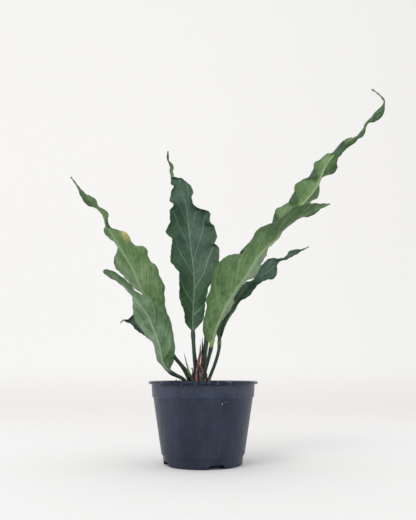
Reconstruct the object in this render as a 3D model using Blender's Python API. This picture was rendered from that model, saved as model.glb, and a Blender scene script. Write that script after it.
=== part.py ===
# Potted anthurium hookeri: seven long ruffled leaves on slim stalks, in a plastic nursery pot.
# Units in the lists are millimetres and degrees. The origin is the middle of the pot's base,
# +Z is up, and the photograph looks along +Y with +X to its right.

import math

import bmesh
import bpy
import numpy as np
from mathutils import Matrix

MM = 0.001

# Pot, turned: radius and height of the outer wall, from the middle of the base to the lip
POT_HEIGHT = 96.0
WALL = 1.4
POT_OUTER = [
    (0.0, 0.0), (45.3, 0.0), (46.3, 1.0), (47.3, 10.3), (48.9, 11.6), (58.8, 76.4), (60.2, 77.9),
    (61.2, 91.6), (64.4, 92.4), (65.0, 93.4), (64.6, 95.4), (63.4, POT_HEIGHT),
]
POT_INNER = [
    (61.4, 95.6), (60.2, 94.2), (58.8, 78.2), (57.4, 76.6), (47.5, 12.0), (45.9, 10.6),
    (45.0, 2.9), (43.6, 1.8), (0.0, 1.8),
]
POT_SEGMENTS = 48

# Four pockets are pressed up into the edge of the base, each with a drain hole in its roof
POCKET_ANGLES = [-70.5, 19.5, 109.5, 199.5]
POCKET_HEIGHT = 4.9
POCKET_HALF_WIDTH = 11.5
POCKET_SLOPE = 3.4
POCKET_INNER_RADIUS = 35.0
PAST_THE_WALL = 60.0
DRAIN_RADIUS = 3.0
DRAIN_AT_RADIUS = 40.5

# Soil
SOIL_LEVEL = 84.0
SOIL_LUMP = 1.3
SOIL_SEGMENTS = 40
GAP = 0.3

# Crown: the short thick stem that the leaves grow from
CROWN_X = -6.0
CROWN_Y = 0.0
CROWN_RADIUS = 15.0
CROWN_SEGMENTS = 28
CROWN_FOOT = 70.0
CROWN_TOP = 90.0
CLEAR_UP_TO = 150.0
CLEARANCE = GAP + 0.12

# Leaves
VIEWER = (0.0, -700.0, 104.0)
BLADE_THICKNESS = 0.8
THINNEST = 0.8
BLADE_SPACING = 5.5
STALK_SPACING = 10.0
STALK_SIDES = 12
TWIST_PER_RING = 40.0
ACROSS = [-1.0, -0.6, -0.12, 0.12, 0.6, 1.0]
MIDRIB_COLUMNS = [2, 3]
MIDRIB_HALF_WIDTH = 1.2
FLATTEST = 0.97
BELLY = 0.3
CALM_LENGTH = 16.0
WAVE_DEPTH = 0.4
SWELLING = 0.5
SWELLING_BELOW = 6.0
SWELLING_LENGTH = 5.0
FLARE = 0.5
FLARE_LENGTH = 14.0
BLEND_FROM = -4.0
BLEND_LENGTH = 14.0

# Each leaf follows its midrib, a smooth line through "spine" from the foot of the stalk to the
# tip. The first "stalk_points" of it are the round stalk, and the blade starts at the last of
# them. Along the blade, by distance from there:
#   "width": half-width of the blade, the same on both sides, as if it were pressed flat
#   "left" and "right": how far each edge reaches as the viewer sees it. The rest of the width
#   turns toward the viewer or away, which folds the blade along its midrib and ruffles it
#   "twist": how far the whole blade has turned about its midrib
# "faces" is 1 where the upper side is turned to the viewer, -1 where the underside is.
LEAVES = {
    "leaf_tall_left": {
        "faces": -1, "stalk": 2.3, "ridge": 1.5, "stalk_points": 6,
        "spine": [
            (-11, -0.5, 80), (-12.5, -1.5, 92), (-16, -3.5, 102), (-26, -5, 114), (-36, -7, 126),
            (-44, -10, 146), (-51, -13, 161), (-59, -16, 176), (-73, -22, 202), (-87, -32, 231),
            (-97, -39, 248), (-104, -44, 259), (-111, -50, 271), (-115, -53, 277),
            (-118, -57, 287), (-124, -60, 295), (-142, -68, 313), (-156, -72, 331),
        ],
        "width": [
            (0, 2.3), (20, 16), (50, 28), (90, 32), (120, 27), (140, 17), (152, 8), (160, 5),
            (170, 6), (190, 7), (205, 5), (218, 1.5), (227, 0.8),
        ],
        "left": [
            (0, 2), (15, 7), (33, 10), (64, 13.5), (88, 13.5), (106, 17.5), (116, 14.5),
            (123, 9), (128, 3), (135, 4), (145, 7.5), (153, 6), (157, 1.5), (176, 1),
            (190, 6.5), (204, 4), (216, 1.2), (227, 0.8),
        ],
        "right": [
            (0, 2), (15, 12.5), (32, 14.5), (50, 22.5), (60, 27.5), (73, 26.5), (86, 29),
            (93, 24.5), (101, 23), (108, 25), (114, 22), (121, 14.5), (130, 14), (137, 15),
            (145, 9), (151, 2.5), (160, 2.5), (168, 6), (176, 2), (188, 4.5), (199, 1.5),
            (227, 0.8),
        ],
    },
    "leaf_front_left": {
        "faces": -1, "stalk": 2.2, "ridge": 1.4, "stalk_points": 6,
        "spine": [
            (-12, -7, 79), (-14.5, -8, 86), (-19, -10.5, 93), (-25, -13, 99), (-33, -18, 103),
            (-41, -24, 108), (-47, -28, 117), (-50, -34, 133), (-59, -44, 158),
            (-64, -49, 170), (-72, -55, 181), (-83, -63, 195), (-100, -74, 212),
            (-112, -80, 218),
        ],
        "width": [
            (0, 2.5), (12, 12), (30, 20), (50, 25), (75, 25), (90, 20), (100, 10), (112, 6),
            (130, 6), (140, 3), (147, 0.8),
        ],
        "left": [
            (0, 2), (8, 2.5), (20, 7), (33, 6.5), (40, 6), (47, 10), (59, 14), (74, 16),
            (86, 11.5), (96, 5), (101, 1.5), (111, 2), (127, 3), (141, 2.5), (147, 0.8),
        ],
        "right": [
            (0, 3), (8, 12), (24, 15.5), (34, 18.5), (47, 21), (58, 22), (68, 21.5), (80, 20),
            (89, 16), (97, 8), (104, 5.5), (125, 5), (137, 3.5), (147, 0.8),
        ],
    },
    "leaf_back_left": {
        "faces": 1, "stalk": 2.1, "ridge": 1.3, "stalk_points": 6,
        "spine": [
            (-14, 6, 81), (-16, 7.5, 92), (-20, 9.5, 102), (-27, 12, 114), (-37, 15, 126),
            (-46, 19, 137), (-55, 23, 147), (-69, 29, 159), (-83, 36, 166), (-92, 40, 171),
            (-100, 43, 173), (-106, 45, 174), (-110, 46, 170),
        ],
        "width": [(0, 2.1), (15, 11), (33, 17), (50, 17), (62, 12), (70, 6), (77, 2), (83, 0.8)],
        "left": [(0, 2), (14, 7), (29, 9.5), (46, 8), (58, 6), (65, 3), (77, 1.2), (83, 0.8)],
        "right": [(0, 2), (14, 9), (33, 15), (50, 15), (62, 12), (66, 8), (71, 1.5), (83, 0.8)],
    },
    "leaf_centre": {
        "faces": 1, "stalk": 2.4, "ridge": 1.6, "stalk_points": 5,
        "spine": [
            (-7, 4, 80), (-7, 4.5, 92), (-9, 5, 106), (-11.5, 6, 133), (-13, 10, 158),
            (-13, 16, 187), (-12, 22, 209), (-13, 30, 236), (-18, 44, 279), (-23, 58, 323),
            (-29, 68, 356), (-38, 74, 375), (-45, 78, 390), (-48, 81, 401), (-52, 83, 411),
            (-53, 86, 429),
        ],
        "width": [
            (0, 2.4), (12, 11), (30, 18), (55, 25), (80, 31), (105, 37), (150, 37), (175, 33),
            (195, 27), (215, 18), (232, 11), (241, 5), (250, 3), (261, 6), (270, 2), (288, 0.8),
        ],
        "left": [
            (0, 2), (6, 7), (12, 10), (24, 11), (34, 15), (47, 19), (69, 19.5), (80, 18),
            (95, 25), (102, 28.5), (119, 26), (134, 23), (147, 31.5), (154, 29), (165, 23.5),
            (182, 23), (194, 16.5), (202, 21.5), (221, 14.5), (227, 7), (233, 9), (241, 4.5),
            (249, 1.2), (261, 4.5), (269, 1.2), (288, 0.8),
        ],
        "right": [
            (0, 2), (7, 8.5), (15, 13.5), (31, 14.5), (50, 16.5), (58, 18), (67, 24), (80, 31),
            (93, 35), (112, 37.5), (121, 32), (132, 37), (148, 35), (158, 29.5), (168, 32),
            (176, 28), (182, 16), (189, 10.5), (198, 9.5), (205, 14), (212, 15), (224, 12),
            (232, 9), (240, 1.5), (252, 3.5), (262, 1), (288, 0.8),
        ],
    },
    "leaf_right_front": {
        "faces": -1, "stalk": 2.2, "ridge": 1.5, "stalk_points": 5,
        "spine": [
            (-3, -5, 80), (-2, -6, 90), (0.5, -7.5, 101), (7.5, -12, 127), (10.5, -16, 140),
            (14, -20, 155), (20, -25, 169), (28, -32, 186), (37, -38, 200), (52, -49, 220),
            (69, -61, 244), (75, -65, 249), (84, -70, 257), (92, -75, 267), (100, -80, 273),
            (110, -84, 280), (121, -89, 285), (142, -97, 291),
        ],
        "width": [
            (0, 2.5), (17, 15), (32, 22), (52, 29), (77, 35), (102, 33), (127, 28), (152, 23),
            (177, 15), (197, 9), (212, 4), (224, 0.8),
        ],
        "left": [
            (0, 2.5), (4, 8), (14, 14.5), (24, 18), (39, 21), (46, 25), (57, 26), (66, 31),
            (75, 34), (86, 36), (99, 33), (108, 27), (113, 19), (118, 18), (130, 19.5),
            (137, 22.5), (146, 23), (158, 18.5), (166, 12), (179, 12.5), (188, 13), (193, 11),
            (205, 8), (219, 2.5), (224, 0.8),
        ],
        "right": [
            (0, 1.5), (30, 1.5), (43, 6.5), (55, 7.5), (64, 2.5), (76, 2), (87, 3), (97, 8.5),
            (105, 9.5), (113, 7), (128, 7.5), (137, 1), (175, 0.8), (187, 1.5), (199, 5.5),
            (204, 5.5), (214, 2), (224, 0.8),
        ],
    },
    "leaf_tall_right": {
        "faces": -1, "stalk": 2.5, "ridge": 1.6, "stalk_points": 6,
        "spine": [
            (-1, 1, 80), (0, 2, 92), (1, 2, 102), (2, 1.5, 123), (4, 0, 139), (6, -1, 157),
            (12, -4, 180), (26, -7, 209), (46, -11, 239), (69, -15, 265), (96, -20, 291),
            (124, -25, 313), (142, -30, 335), (153, -35, 359), (165, -39, 375), (177, -43, 387),
            (184, -45, 390), (191, -47, 394), (198, -48, 402), (205, -50, 413), (215, -52, 421),
            (222, -54, 430), (225, -55, 438), (221, -56, 444), (210, -57, 453),
        ],
        "width": [
            (0, 2.5), (24, 13), (56, 24), (93, 30), (130, 30), (165, 29), (200, 27), (220, 25),
            (240, 20), (255, 16), (268, 11.5), (278, 7), (287, 9.5), (300, 8.4), (322, 6.2),
            (335, 6.8), (348, 10), (358, 4.8), (366, 0.9), (390, 0.8),
        ],
        "left": [
            (0, 2.4), (24, 8), (56, 13), (93, 10), (125, 9), (142, 4), (158, 6), (172, 16.5),
            (182, 14), (191, 15), (203, 18), (215, 24), (221, 21.5), (233, 18), (239, 13.5),
            (246, 13), (253, 15), (262, 9.5), (270, 9), (278, 5.5), (287, 8.7), (300, 7.2),
            (322, 5.3), (335, 5.8), (343, 7), (350, 6), (358, 2.5), (366, 0.9), (390, 0.8),
        ],
        "right": [
            (0, 2.4), (24, 9), (56, 11), (93, 12), (125, 9), (150, 8), (185, 7), (211, 6),
            (219, 9), (225, 7), (231, 2.5), (237, 2.5), (246, 6.5), (251, 11), (260, 13.5),
            (267, 10.5), (278, 5.5), (287, 8.7), (300, 7.2), (322, 5.3), (335, 5.8), (343, 8),
            (350, 8.7), (358, 4.4), (366, 0.9), (390, 0.8),
        ],
        "twist": [
            (0, 0), (255, 0), (270, 20), (278, 90), (286, 180), (295, 270), (304, 360),
            (314, 450), (324, 520), (335, 540), (390, 540),
        ],
    },
    "leaf_right_back": {
        "faces": 1, "stalk": 2.1, "ridge": 1.3, "stalk_points": 6,
        "spine": [
            (3.5, 6.5, 81), (5, 8, 91), (8, 8.5, 100), (14, 9.5, 115), (20, 12, 137),
            (20.5, 15, 148), (23, 21, 164), (33, 30, 186), (46, 37, 201), (56, 44, 214),
            (76, 56, 234), (88, 62, 242), (102, 70, 256), (108, 73, 261), (115, 76, 264),
            (122, 79, 270), (134, 84, 275), (153, 92, 285),
        ],
        "width": [
            (0, 2.1), (17, 14), (43, 20), (64, 23), (100, 24), (128, 21), (145, 15), (155, 8),
            (163, 2.5), (170, 3), (178, 6), (190, 5), (202, 1.5), (213, 0.8),
        ],
        "left": [
            (0, 2), (17, 8), (43, 11), (64, 10), (80, 8), (92, 7.5), (104, 5), (114, 9),
            (124, 12.5), (143, 12.5), (152, 7.5), (158, 3), (172, 1.8), (180, 5), (190, 4.5),
            (202, 1.2), (213, 0.8),
        ],
        "right": [
            (0, 2), (10, 5), (24, 6.5), (46, 7.5), (63, 4.5), (80, 9), (94, 8), (114, 7.5),
            (122, 8), (130, 13), (143, 8), (151, 2), (163, 1.5), (169, 3), (179, 3.5),
            (188, 2.5), (200, 1), (213, 0.8),
        ],
    },
}

# Papery sheaths: dry brown strips round the stalks' feet. Point along the middle, half-width
SHEATHS = [
    [(-6, -1, 84, 5.0), (-5, -2.5, 100, 4.6), (-3.5, -2.5, 122, 3.2), (-1, -1.5, 143, 0.8)],
    [(-10, 0, 84, 4.6), (-9, -1, 100, 4.2), (-7, -1, 120, 3.0), (-4, -1.5, 140, 0.8)],
    [(-11, -5, 84, 3.6), (-11.5, -7, 96, 3.0), (-12, -7.5, 110, 0.8)],
    [(1, -2, 84, 4.0), (3.5, -3, 97, 3.4), (5, -4, 112, 2.2), (5, -4.5, 120, 0.8)],
]
SHEATH_CUP = 0.45

# Young shoot: the next leaf, still rolled into a green spike. Point along the middle, radius
SHOOT = [
    (-9, -10.5, 81, 2.0), (-10.5, -12, 89, 2.0), (-13.5, -12.5, 97, 1.9),
    (-17, -12.5, 105, 1.6), (-20.5, -12.5, 116, 1.1), (-23.5, -13, 127, 0.4),
]

COLOURS = {
    "pot": ((0.055, 0.065, 0.095), 0.5),
    "soil": ((0.075, 0.045, 0.028), 0.95),
    "crown": ((0.16, 0.075, 0.045), 0.9),
    "shoot": ((0.16, 0.30, 0.08), 0.45),
    "leaf_underside": ((0.15, 0.27, 0.12), 0.45),
    "leaf_upper": ((0.045, 0.11, 0.06), 0.35),
}


# Start from an empty scene
for item in list(bpy.data.objects):
    bpy.data.objects.remove(item, do_unlink=True)


def material(name, colour, roughness):
    made = bpy.data.materials.new(name)
    made.use_nodes = True
    shader = made.node_tree.nodes["Principled BSDF"]
    shader.inputs["Base Color"].default_value = (*colour, 1.0)
    shader.inputs["Roughness"].default_value = roughness
    shader.inputs["Metallic"].default_value = 0.0
    return made


def add_object(name, mesh, colour=None):
    made = bpy.data.objects.new(name, mesh)
    bpy.context.scene.collection.objects.link(made)
    if colour:
        mesh.materials.clear()
        mesh.materials.append(material(name, *COLOURS[colour]))
    return made


def mesh_from(bm, name):
    bmesh.ops.recalc_face_normals(bm, faces=bm.faces[:])
    mesh = bpy.data.meshes.new(name)
    bm.to_mesh(mesh)
    bm.free()
    return mesh


def round_shading(mesh, angle=35.0):
    mesh.shade_smooth()
    mesh.set_sharp_from_angle(angle=math.radians(angle))


# Turning, cutting and joining


def turned(name, profile, segments, centre=(0.0, 0.0)):
    """A solid of revolution about an upright axis, from a profile of (radius, height)."""
    bm = bmesh.new()
    chain = [bm.verts.new((radius * MM, 0.0, height * MM)) for radius, height in profile]
    for lower, upper in zip(chain, chain[1:]):
        bm.edges.new((lower, upper))
    bmesh.ops.spin(
        bm, geom=bm.verts[:] + bm.edges[:], cent=(0, 0, 0), axis=(0, 0, 1),
        angle=2 * math.pi, steps=segments, use_merge=True,
    )
    bmesh.ops.remove_doubles(bm, verts=bm.verts[:], dist=1e-6)
    bmesh.ops.translate(bm, verts=bm.verts[:], vec=(centre[0] * MM, centre[1] * MM, 0.0))
    return add_object(name, mesh_from(bm, name))


def boolean(target, others, operation):
    """Cut the others out of the target, or join them to it, and drop them."""
    group = bpy.data.collections.new(target.name + " tools")
    for other in others:
        group.objects.link(other)
    step = target.modifiers.new(operation.lower(), "BOOLEAN")
    step.operation = operation
    step.solver = "EXACT"
    step.operand_type = "COLLECTION"
    step.collection = group
    seen = target.evaluated_get(bpy.context.evaluated_depsgraph_get())
    result = bpy.data.meshes.new_from_object(seen)
    target.modifiers.clear()
    target.data = result
    for other in others:
        bpy.data.objects.remove(other, do_unlink=True)
    bpy.data.collections.remove(group)
    return target


def pocket(angle, swell=0.0):
    """The space of one pocket under the base: a block with sloped ends, swollen all round."""
    top = POCKET_HEIGHT + swell
    near = POCKET_INNER_RADIUS - swell
    half_top = POCKET_HALF_WIDTH - POCKET_SLOPE + swell
    half_foot = POCKET_HALF_WIDTH + swell
    bm = bmesh.new()
    bmesh.ops.create_cube(bm, size=1.0)
    for vert in bm.verts:
        upper = vert.co.z > 0
        side = 1 if vert.co.y > 0 else -1
        vert.co.x = (near if vert.co.x < 0 else PAST_THE_WALL) * MM
        vert.co.y = side * (half_top if upper else half_foot) * MM
        vert.co.z = (top if upper else -1.0) * MM
    turn = math.radians(angle)
    bmesh.ops.rotate(bm, verts=bm.verts[:], cent=(0, 0, 0), matrix=Matrix.Rotation(turn, 3, "Z"))
    return add_object("pocket", mesh_from(bm, "pocket"))


def rod(x, y, low, high, radius, sides=16):
    """An upright round cutter."""
    bm = bmesh.new()
    bmesh.ops.create_cone(
        bm, cap_ends=True, segments=sides, radius1=radius * MM, radius2=radius * MM,
        depth=(high - low) * MM,
    )
    bmesh.ops.translate(bm, verts=bm.verts[:], vec=(x * MM, y * MM, (low + high) / 2 * MM))
    return add_object("rod", mesh_from(bm, "rod"))


# The leaf: one closed skin that is a round stalk at its foot and a thin blade above


def smooth(knots, values, at):
    """A smooth curve through the values at the knots."""
    knots = np.asarray(knots, float)
    values = np.asarray(values, float)
    return hermite(knots, values, np.gradient(values, knots, axis=0), at)


def hermite(knots, values, slopes, at):
    index = np.clip(np.searchsorted(knots, at) - 1, 0, len(knots) - 2)
    span = (knots[index + 1] - knots[index])[:, None]
    part = (at[:, None] - knots[index][:, None]) / span
    a, b = values[index], values[index + 1]
    slope_a, slope_b = slopes[index] * span, slopes[index + 1] * span
    return (
        a * (1 + 2 * part) * (1 - part) ** 2
        + b * part ** 2 * (3 - 2 * part)
        + slope_a * part * (1 - part) ** 2
        - slope_b * part ** 2 * (1 - part)
    )


def unit(vectors):
    length = np.linalg.norm(vectors, axis=-1, keepdims=True)
    return vectors / np.maximum(length, 1e-9)


def distances(points):
    steps = np.linalg.norm(np.diff(np.array(points, float), axis=0), axis=1)
    return np.concatenate([[0.0], np.cumsum(steps)])


def reading(pairs, at):
    """A smooth curve through (distance, value) pairs that never swings past them."""
    knots, values = np.array(pairs, float).T
    rise = np.diff(values) / np.diff(knots)
    before, after = rise[:-1], rise[1:]
    same_way = before * after > 0
    inner = np.where(same_way, 2 * before * after / np.where(same_way, before + after, 1.0), 0.0)
    slopes = np.concatenate([[rise[0]], inner, [rise[-1]]])
    at = np.clip(at, knots[0], knots[-1])
    return hermite(knots, values[:, None], slopes[:, None], at)[:, 0]


def places_along(leaf):
    """Where the rings of the skin go along the midrib, and where the blade starts."""
    knots = distances(leaf["spine"])
    start = knots[leaf["stalk_points"] - 1]
    count = math.ceil(start / STALK_SPACING)
    places = list(np.linspace(0.0, start, count + 1))
    while places[-1] < knots[-1] - 0.5:
        step = BLADE_SPACING
        if "twist" in leaf:
            here = places[-1] - start
            turning = np.diff(reading(leaf["twist"], np.array([here, here + step])))[0]
            step = step / max(1.0, abs(turning) / TWIST_PER_RING)
        places.append(min(places[-1] + step, knots[-1]))
    return np.array(places), start


def leaf_rings(leaf):
    """Points of the skin in millimetres, one ring for each place along the leaf."""
    places, start = places_along(leaf)
    faces = leaf["faces"]
    spine = smooth(distances(leaf["spine"]), leaf["spine"], places)
    along = unit(np.gradient(spine, places, axis=0))
    toward = unit(np.array(VIEWER) - spine)
    right = unit(np.cross(along, toward))
    round_toward = np.cross(right, along)

    blade_place = places - start
    twist = np.zeros(len(places))
    if "twist" in leaf:
        twist = np.radians(reading(leaf["twist"], blade_place))
    flat = np.maximum(reading(leaf["width"], blade_place), THINNEST)

    # Near the midrib the blade follows an average over a stretch of the leaf, and only toward
    # its edge does it follow every wave. Across the leaf is real, toward the viewer imaginary.
    nearness = np.exp(-((places[:, None] - places) / CALM_LENGTH) ** 2) * np.gradient(places)
    nearness /= nearness.sum(axis=1, keepdims=True)

    middle = np.zeros((len(places), len(ACROSS), 3))
    for column, across in enumerate(ACROSS):
        side = -1 if across < 0 else 1
        seen = np.maximum(reading(leaf["left" if side < 0 else "right"], blade_place), 0.5)
        width = np.maximum(flat, seen / FLATTEST)
        edge = side * seen + 1j * faces * np.sqrt(width ** 2 - seen ** 2)
        calm = nearness @ edge
        edge -= 1j * (1 - WAVE_DEPTH) * (edge - calm).imag
        calm *= np.minimum(1.0, 1.4 * width / np.abs(calm))
        share = np.full(len(places), abs(across))
        if abs(across) < 0.2:
            share = np.minimum(MIDRIB_HALF_WIDTH / width, 0.4)
        reach = share * (calm + (edge - calm) * share ** 2)
        reach -= 1j * side * faces * calm / np.abs(calm) * BELLY * width * (share - share ** 2)
        reach *= np.exp(1j * twist)
        middle[:, column] = spine + right * reach.real[:, None] + toward * reach.imag[:, None]

    lengthwise = np.gradient(middle, places, axis=0)
    crosswise = np.gradient(middle, axis=1)
    upward = unit(np.cross(crosswise, lengthwise)) * faces

    upper = middle + upward * BLADE_THICKNESS / 2
    under = middle - upward * BLADE_THICKNESS / 2
    ridge = leaf["ridge"] * np.clip((places[-1] - places) / (places[-1] - start), 0.05, 1.0)
    ridge = np.minimum(ridge, flat * 0.8)
    for column in MIDRIB_COLUMNS:
        under[:, column] -= upward[:, column] * ridge[:, None]
    blade = np.concatenate([upper, under[:, ::-1]], axis=1)

    radius = np.full(len(places), leaf["stalk"])
    radius += FLARE * np.clip(1 - places / FLARE_LENGTH, 0.0, 1.0)
    radius += SWELLING * np.exp(-(((blade_place + SWELLING_BELOW) / SWELLING_LENGTH) ** 2))
    count = blade.shape[1]
    turns = math.pi - (np.arange(count) + 0.5) * 2 * math.pi / count
    outward = right[:, None] * np.cos(turns)[None, :, None]
    outward = outward + round_toward[:, None] * np.sin(turns)[None, :, None] * faces
    stalk = spine[:, None] + outward * radius[:, None, None]

    blend = np.clip((blade_place - BLEND_FROM) / BLEND_LENGTH, 0.0, 1.0)
    blend = (blend * blend * (3 - 2 * blend))[:, None, None]
    return stalk * (1 - blend) + blade * blend


def skin(name, rings, colour=None):
    """A closed skin over rings of points: a grid rolled up, with its ends closed."""
    lengths, count = rings.shape[:2]
    bm = bmesh.new()
    bmesh.ops.create_grid(bm, x_segments=count, y_segments=lengths - 1, size=1.0)
    for vert in bm.verts:
        around = round((vert.co.x + 1) / 2 * count) % count
        place = round((vert.co.y + 1) / 2 * (lengths - 1))
        vert.co = rings[place, around] * MM
        vert.index = around
    bm.faces.ensure_lookup_table()
    half = count // 2
    upper = [face for face in bm.faces if sum(v.index for v in face.verts) < 4 * (half - 0.5)]
    under = [face for face in bm.faces if face not in set(upper)]
    bmesh.ops.triangulate(bm, faces=upper, quad_method="FIXED")
    bmesh.ops.triangulate(bm, faces=under, quad_method="ALTERNATE")
    bmesh.ops.remove_doubles(bm, verts=bm.verts[:], dist=1e-6)
    bmesh.ops.holes_fill(bm, edges=[e for e in bm.edges if e.is_boundary], sides=0)
    return add_object(name, mesh_from(bm, name), colour)


def round_rings(points, sides, swell=0.0, extend=0.0):
    """Rings round a path of (x, y, z, radius), swollen and lengthened at the foot."""
    rows = np.array(points, float)
    centre, radius = rows[:, :3], rows[:, 3] + swell
    along = unit(np.gradient(centre, axis=0))
    centre = centre.copy()
    centre[0] -= along[0] * extend
    right = unit(np.cross((0.0, 1.0, 0.0), along))
    toward = np.cross(right, along)
    turns = np.arange(sides) * 2 * math.pi / sides
    outward = (
        right[:, None] * np.cos(turns)[None, :, None]
        + toward[:, None] * np.sin(turns)[None, :, None]
    )
    return centre[:, None] + outward * radius[:, None, None]


def stalk_clearance(leaf):
    """A cutter that is the lower stalk of a leaf, larger by the gap."""
    rings = leaf_rings(leaf)
    centres = rings.mean(axis=1)
    reach = np.linalg.norm(rings - centres[:, None], axis=2).max(axis=1)
    low = [index for index in range(len(centres)) if centres[index, 2] < CLEAR_UP_TO]
    path = [(*centres[index], reach[index]) for index in low]
    return skin("clearance", round_rings(path, STALK_SIDES, CLEARANCE, CLEARANCE))


# Pot
pot = turned("pot", POT_OUTER + POT_INNER[:1] + [(0.0, POT_INNER[0][1])], POT_SEGMENTS)
above = POT_HEIGHT + 10.0
hollow_side = [(0.0, above), (POT_INNER[0][0], above)] + POT_INNER
hollow = turned("hollow", hollow_side, POT_SEGMENTS)
boolean(hollow, [pocket(angle, WALL) for angle in POCKET_ANGLES], "DIFFERENCE")
drains = []
for angle in POCKET_ANGLES:
    turn = math.radians(angle)
    x, y = DRAIN_AT_RADIUS * math.cos(turn), DRAIN_AT_RADIUS * math.sin(turn)
    drains.append(rod(x, y, POCKET_HEIGHT - 2.0, POCKET_HEIGHT + WALL + 2.0, DRAIN_RADIUS))
boolean(pot, [hollow], "DIFFERENCE")
boolean(pot, [pocket(angle) for angle in POCKET_ANGLES], "DIFFERENCE")
boolean(pot, drains, "DIFFERENCE")
pot.data.materials.clear()
pot.data.materials.append(material("pot", *COLOURS["pot"]))
round_shading(pot.data)


def soil_height(x, y):
    """The rough top of the potting mix, a few broad lumps."""
    lumps = math.sin(x * 0.31 + 1.0) * math.cos(y * 0.27 - 0.4)
    lumps += 0.6 * math.sin(x * 0.17 - y * 0.23 + 2.0)
    return SOIL_LEVEL + SOIL_LUMP * lumps


# Soil, filling the pot to 12 mm under its rim, with a plain hole for the crown
soil_side = [(0.0, SOIL_LEVEL), (14.0, SOIL_LEVEL), (26.0, SOIL_LEVEL), (37.0, SOIL_LEVEL)]
soil_side += [(48.0, SOIL_LEVEL), (55.0, SOIL_LEVEL), (58.9, SOIL_LEVEL - 1.0)]
soil_side += [(radius - GAP, height) for radius, height in POT_INNER[2:-1]]
soil_side[-2] = (POT_INNER[-3][0] - GAP, POT_INNER[-3][1] + GAP)
soil_side[-1] = (POT_INNER[-2][0] - GAP, POT_INNER[-2][1] + GAP)
soil_side += [(0.0, POT_INNER[-1][1] + GAP)]
soil = turned("soil", soil_side, SOIL_SEGMENTS)
for vert in soil.data.vertices:
    x, y, z = (value / MM for value in vert.co)
    if z > SOIL_LEVEL - 0.5:
        vert.co.z = soil_height(x, y) * MM
boolean(soil, [pocket(angle, WALL + GAP) for angle in POCKET_ANGLES], "DIFFERENCE")
hole_foot, hole_top = CROWN_FOOT - GAP, SOIL_LEVEL + 10.0
crown_hole = rod(CROWN_X, CROWN_Y, hole_foot, hole_top, CROWN_RADIUS + GAP, CROWN_SEGMENTS)
boolean(soil, [crown_hole], "DIFFERENCE")
soil.data.materials.clear()
soil.data.materials.append(material("soil", *COLOURS["soil"]))

# Leaves
for name, leaf in LEAVES.items():
    colour = "leaf_upper" if leaf["faces"] > 0 else "leaf_underside"
    grown = skin(name, leaf_rings(leaf), colour)
    round_shading(grown.data, 60.0)

# Young shoot
shoot_knots = np.arange(len(SHOOT), dtype=float)
shoot_path = smooth(shoot_knots, SHOOT, np.linspace(0, len(SHOOT) - 1, 13))
shoot = skin("young_shoot", round_rings(shoot_path, STALK_SIDES), "shoot")
round_shading(shoot.data, 60.0)

# Crown with its papery sheaths, cut clear of the stalks and the shoot that stand in it
crown_profile = [
    (0.0, CROWN_TOP), (6.0, CROWN_TOP - 0.6), (10.5, CROWN_TOP - 2.4), (13.6, CROWN_TOP - 5.0),
    (CROWN_RADIUS, CROWN_TOP - 8.0), (CROWN_RADIUS, CROWN_FOOT), (0.0, CROWN_FOOT),
]
crown = turned("crown_with_papery_sheaths", crown_profile, CROWN_SEGMENTS, (CROWN_X, CROWN_Y))


def sheath_rings(points):
    """A thin dry strip, cupped round the stalks behind it."""
    rows = np.array(points, float)
    rows = smooth(np.arange(len(rows), dtype=float), rows, np.linspace(0, len(rows) - 1, 8))
    centre, half = rows[:, :3], rows[:, 3]
    along = unit(np.gradient(centre, axis=0))
    right = unit(np.cross((0.0, 1.0, 0.0), along))
    toward = np.cross(right, along)
    across = np.array([-1.0, -0.5, 0.0, 0.5, 1.0])
    front = centre[:, None] + right[:, None] * (across[:, None] * half[:, None, None])
    front = front - toward[:, None] * (SHEATH_CUP * half[:, None, None] * across[:, None] ** 2)
    back = front - toward[:, None] * BLADE_THICKNESS
    return np.concatenate([front, back[:, ::-1]], axis=1)


boolean(crown, [skin("sheath", sheath_rings(points)) for points in SHEATHS], "UNION")
clearances = [stalk_clearance(leaf) for leaf in LEAVES.values()]
clearances.append(skin("clearance", round_rings(shoot_path[:8], STALK_SIDES, CLEARANCE, CLEARANCE)))
for clearance in clearances:
    boolean(crown, [clearance], "DIFFERENCE")
crown.data.materials.clear()
crown.data.materials.append(material("crown_with_papery_sheaths", *COLOURS["crown"]))
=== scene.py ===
# %% [markdown]
# # A potted anthurium with long ruffled leaves
# The real plant is a young aroid in a dark plastic nursery pot. Seven leathery leaves stand on
# slim stalks that grow from one short stem, with dry papery sheaths round their feet.
# The solid model already has every piece at its true place and size, but it is coarse. This
# lesson keeps its sizes and makes each surface again, finer and with its real finish.

# %% Load the solid model
import math
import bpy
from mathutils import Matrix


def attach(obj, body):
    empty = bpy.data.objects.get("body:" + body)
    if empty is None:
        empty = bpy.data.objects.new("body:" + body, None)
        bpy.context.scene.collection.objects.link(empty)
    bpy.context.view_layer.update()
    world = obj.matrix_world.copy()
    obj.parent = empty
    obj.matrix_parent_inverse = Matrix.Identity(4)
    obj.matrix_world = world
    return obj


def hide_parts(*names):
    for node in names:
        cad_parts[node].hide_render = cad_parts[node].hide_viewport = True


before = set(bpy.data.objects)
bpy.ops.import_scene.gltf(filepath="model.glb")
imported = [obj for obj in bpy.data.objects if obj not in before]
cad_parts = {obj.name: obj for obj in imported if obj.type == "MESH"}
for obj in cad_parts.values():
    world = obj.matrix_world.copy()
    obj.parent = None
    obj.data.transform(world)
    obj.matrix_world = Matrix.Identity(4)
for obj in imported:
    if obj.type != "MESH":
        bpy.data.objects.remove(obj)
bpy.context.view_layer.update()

from types import SimpleNamespace

import bmesh
import bpy
import numpy as np
from mathutils import Matrix, Vector, noise

MM = 0.001
print("pieces in the solid model:", sorted(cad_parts))

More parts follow.
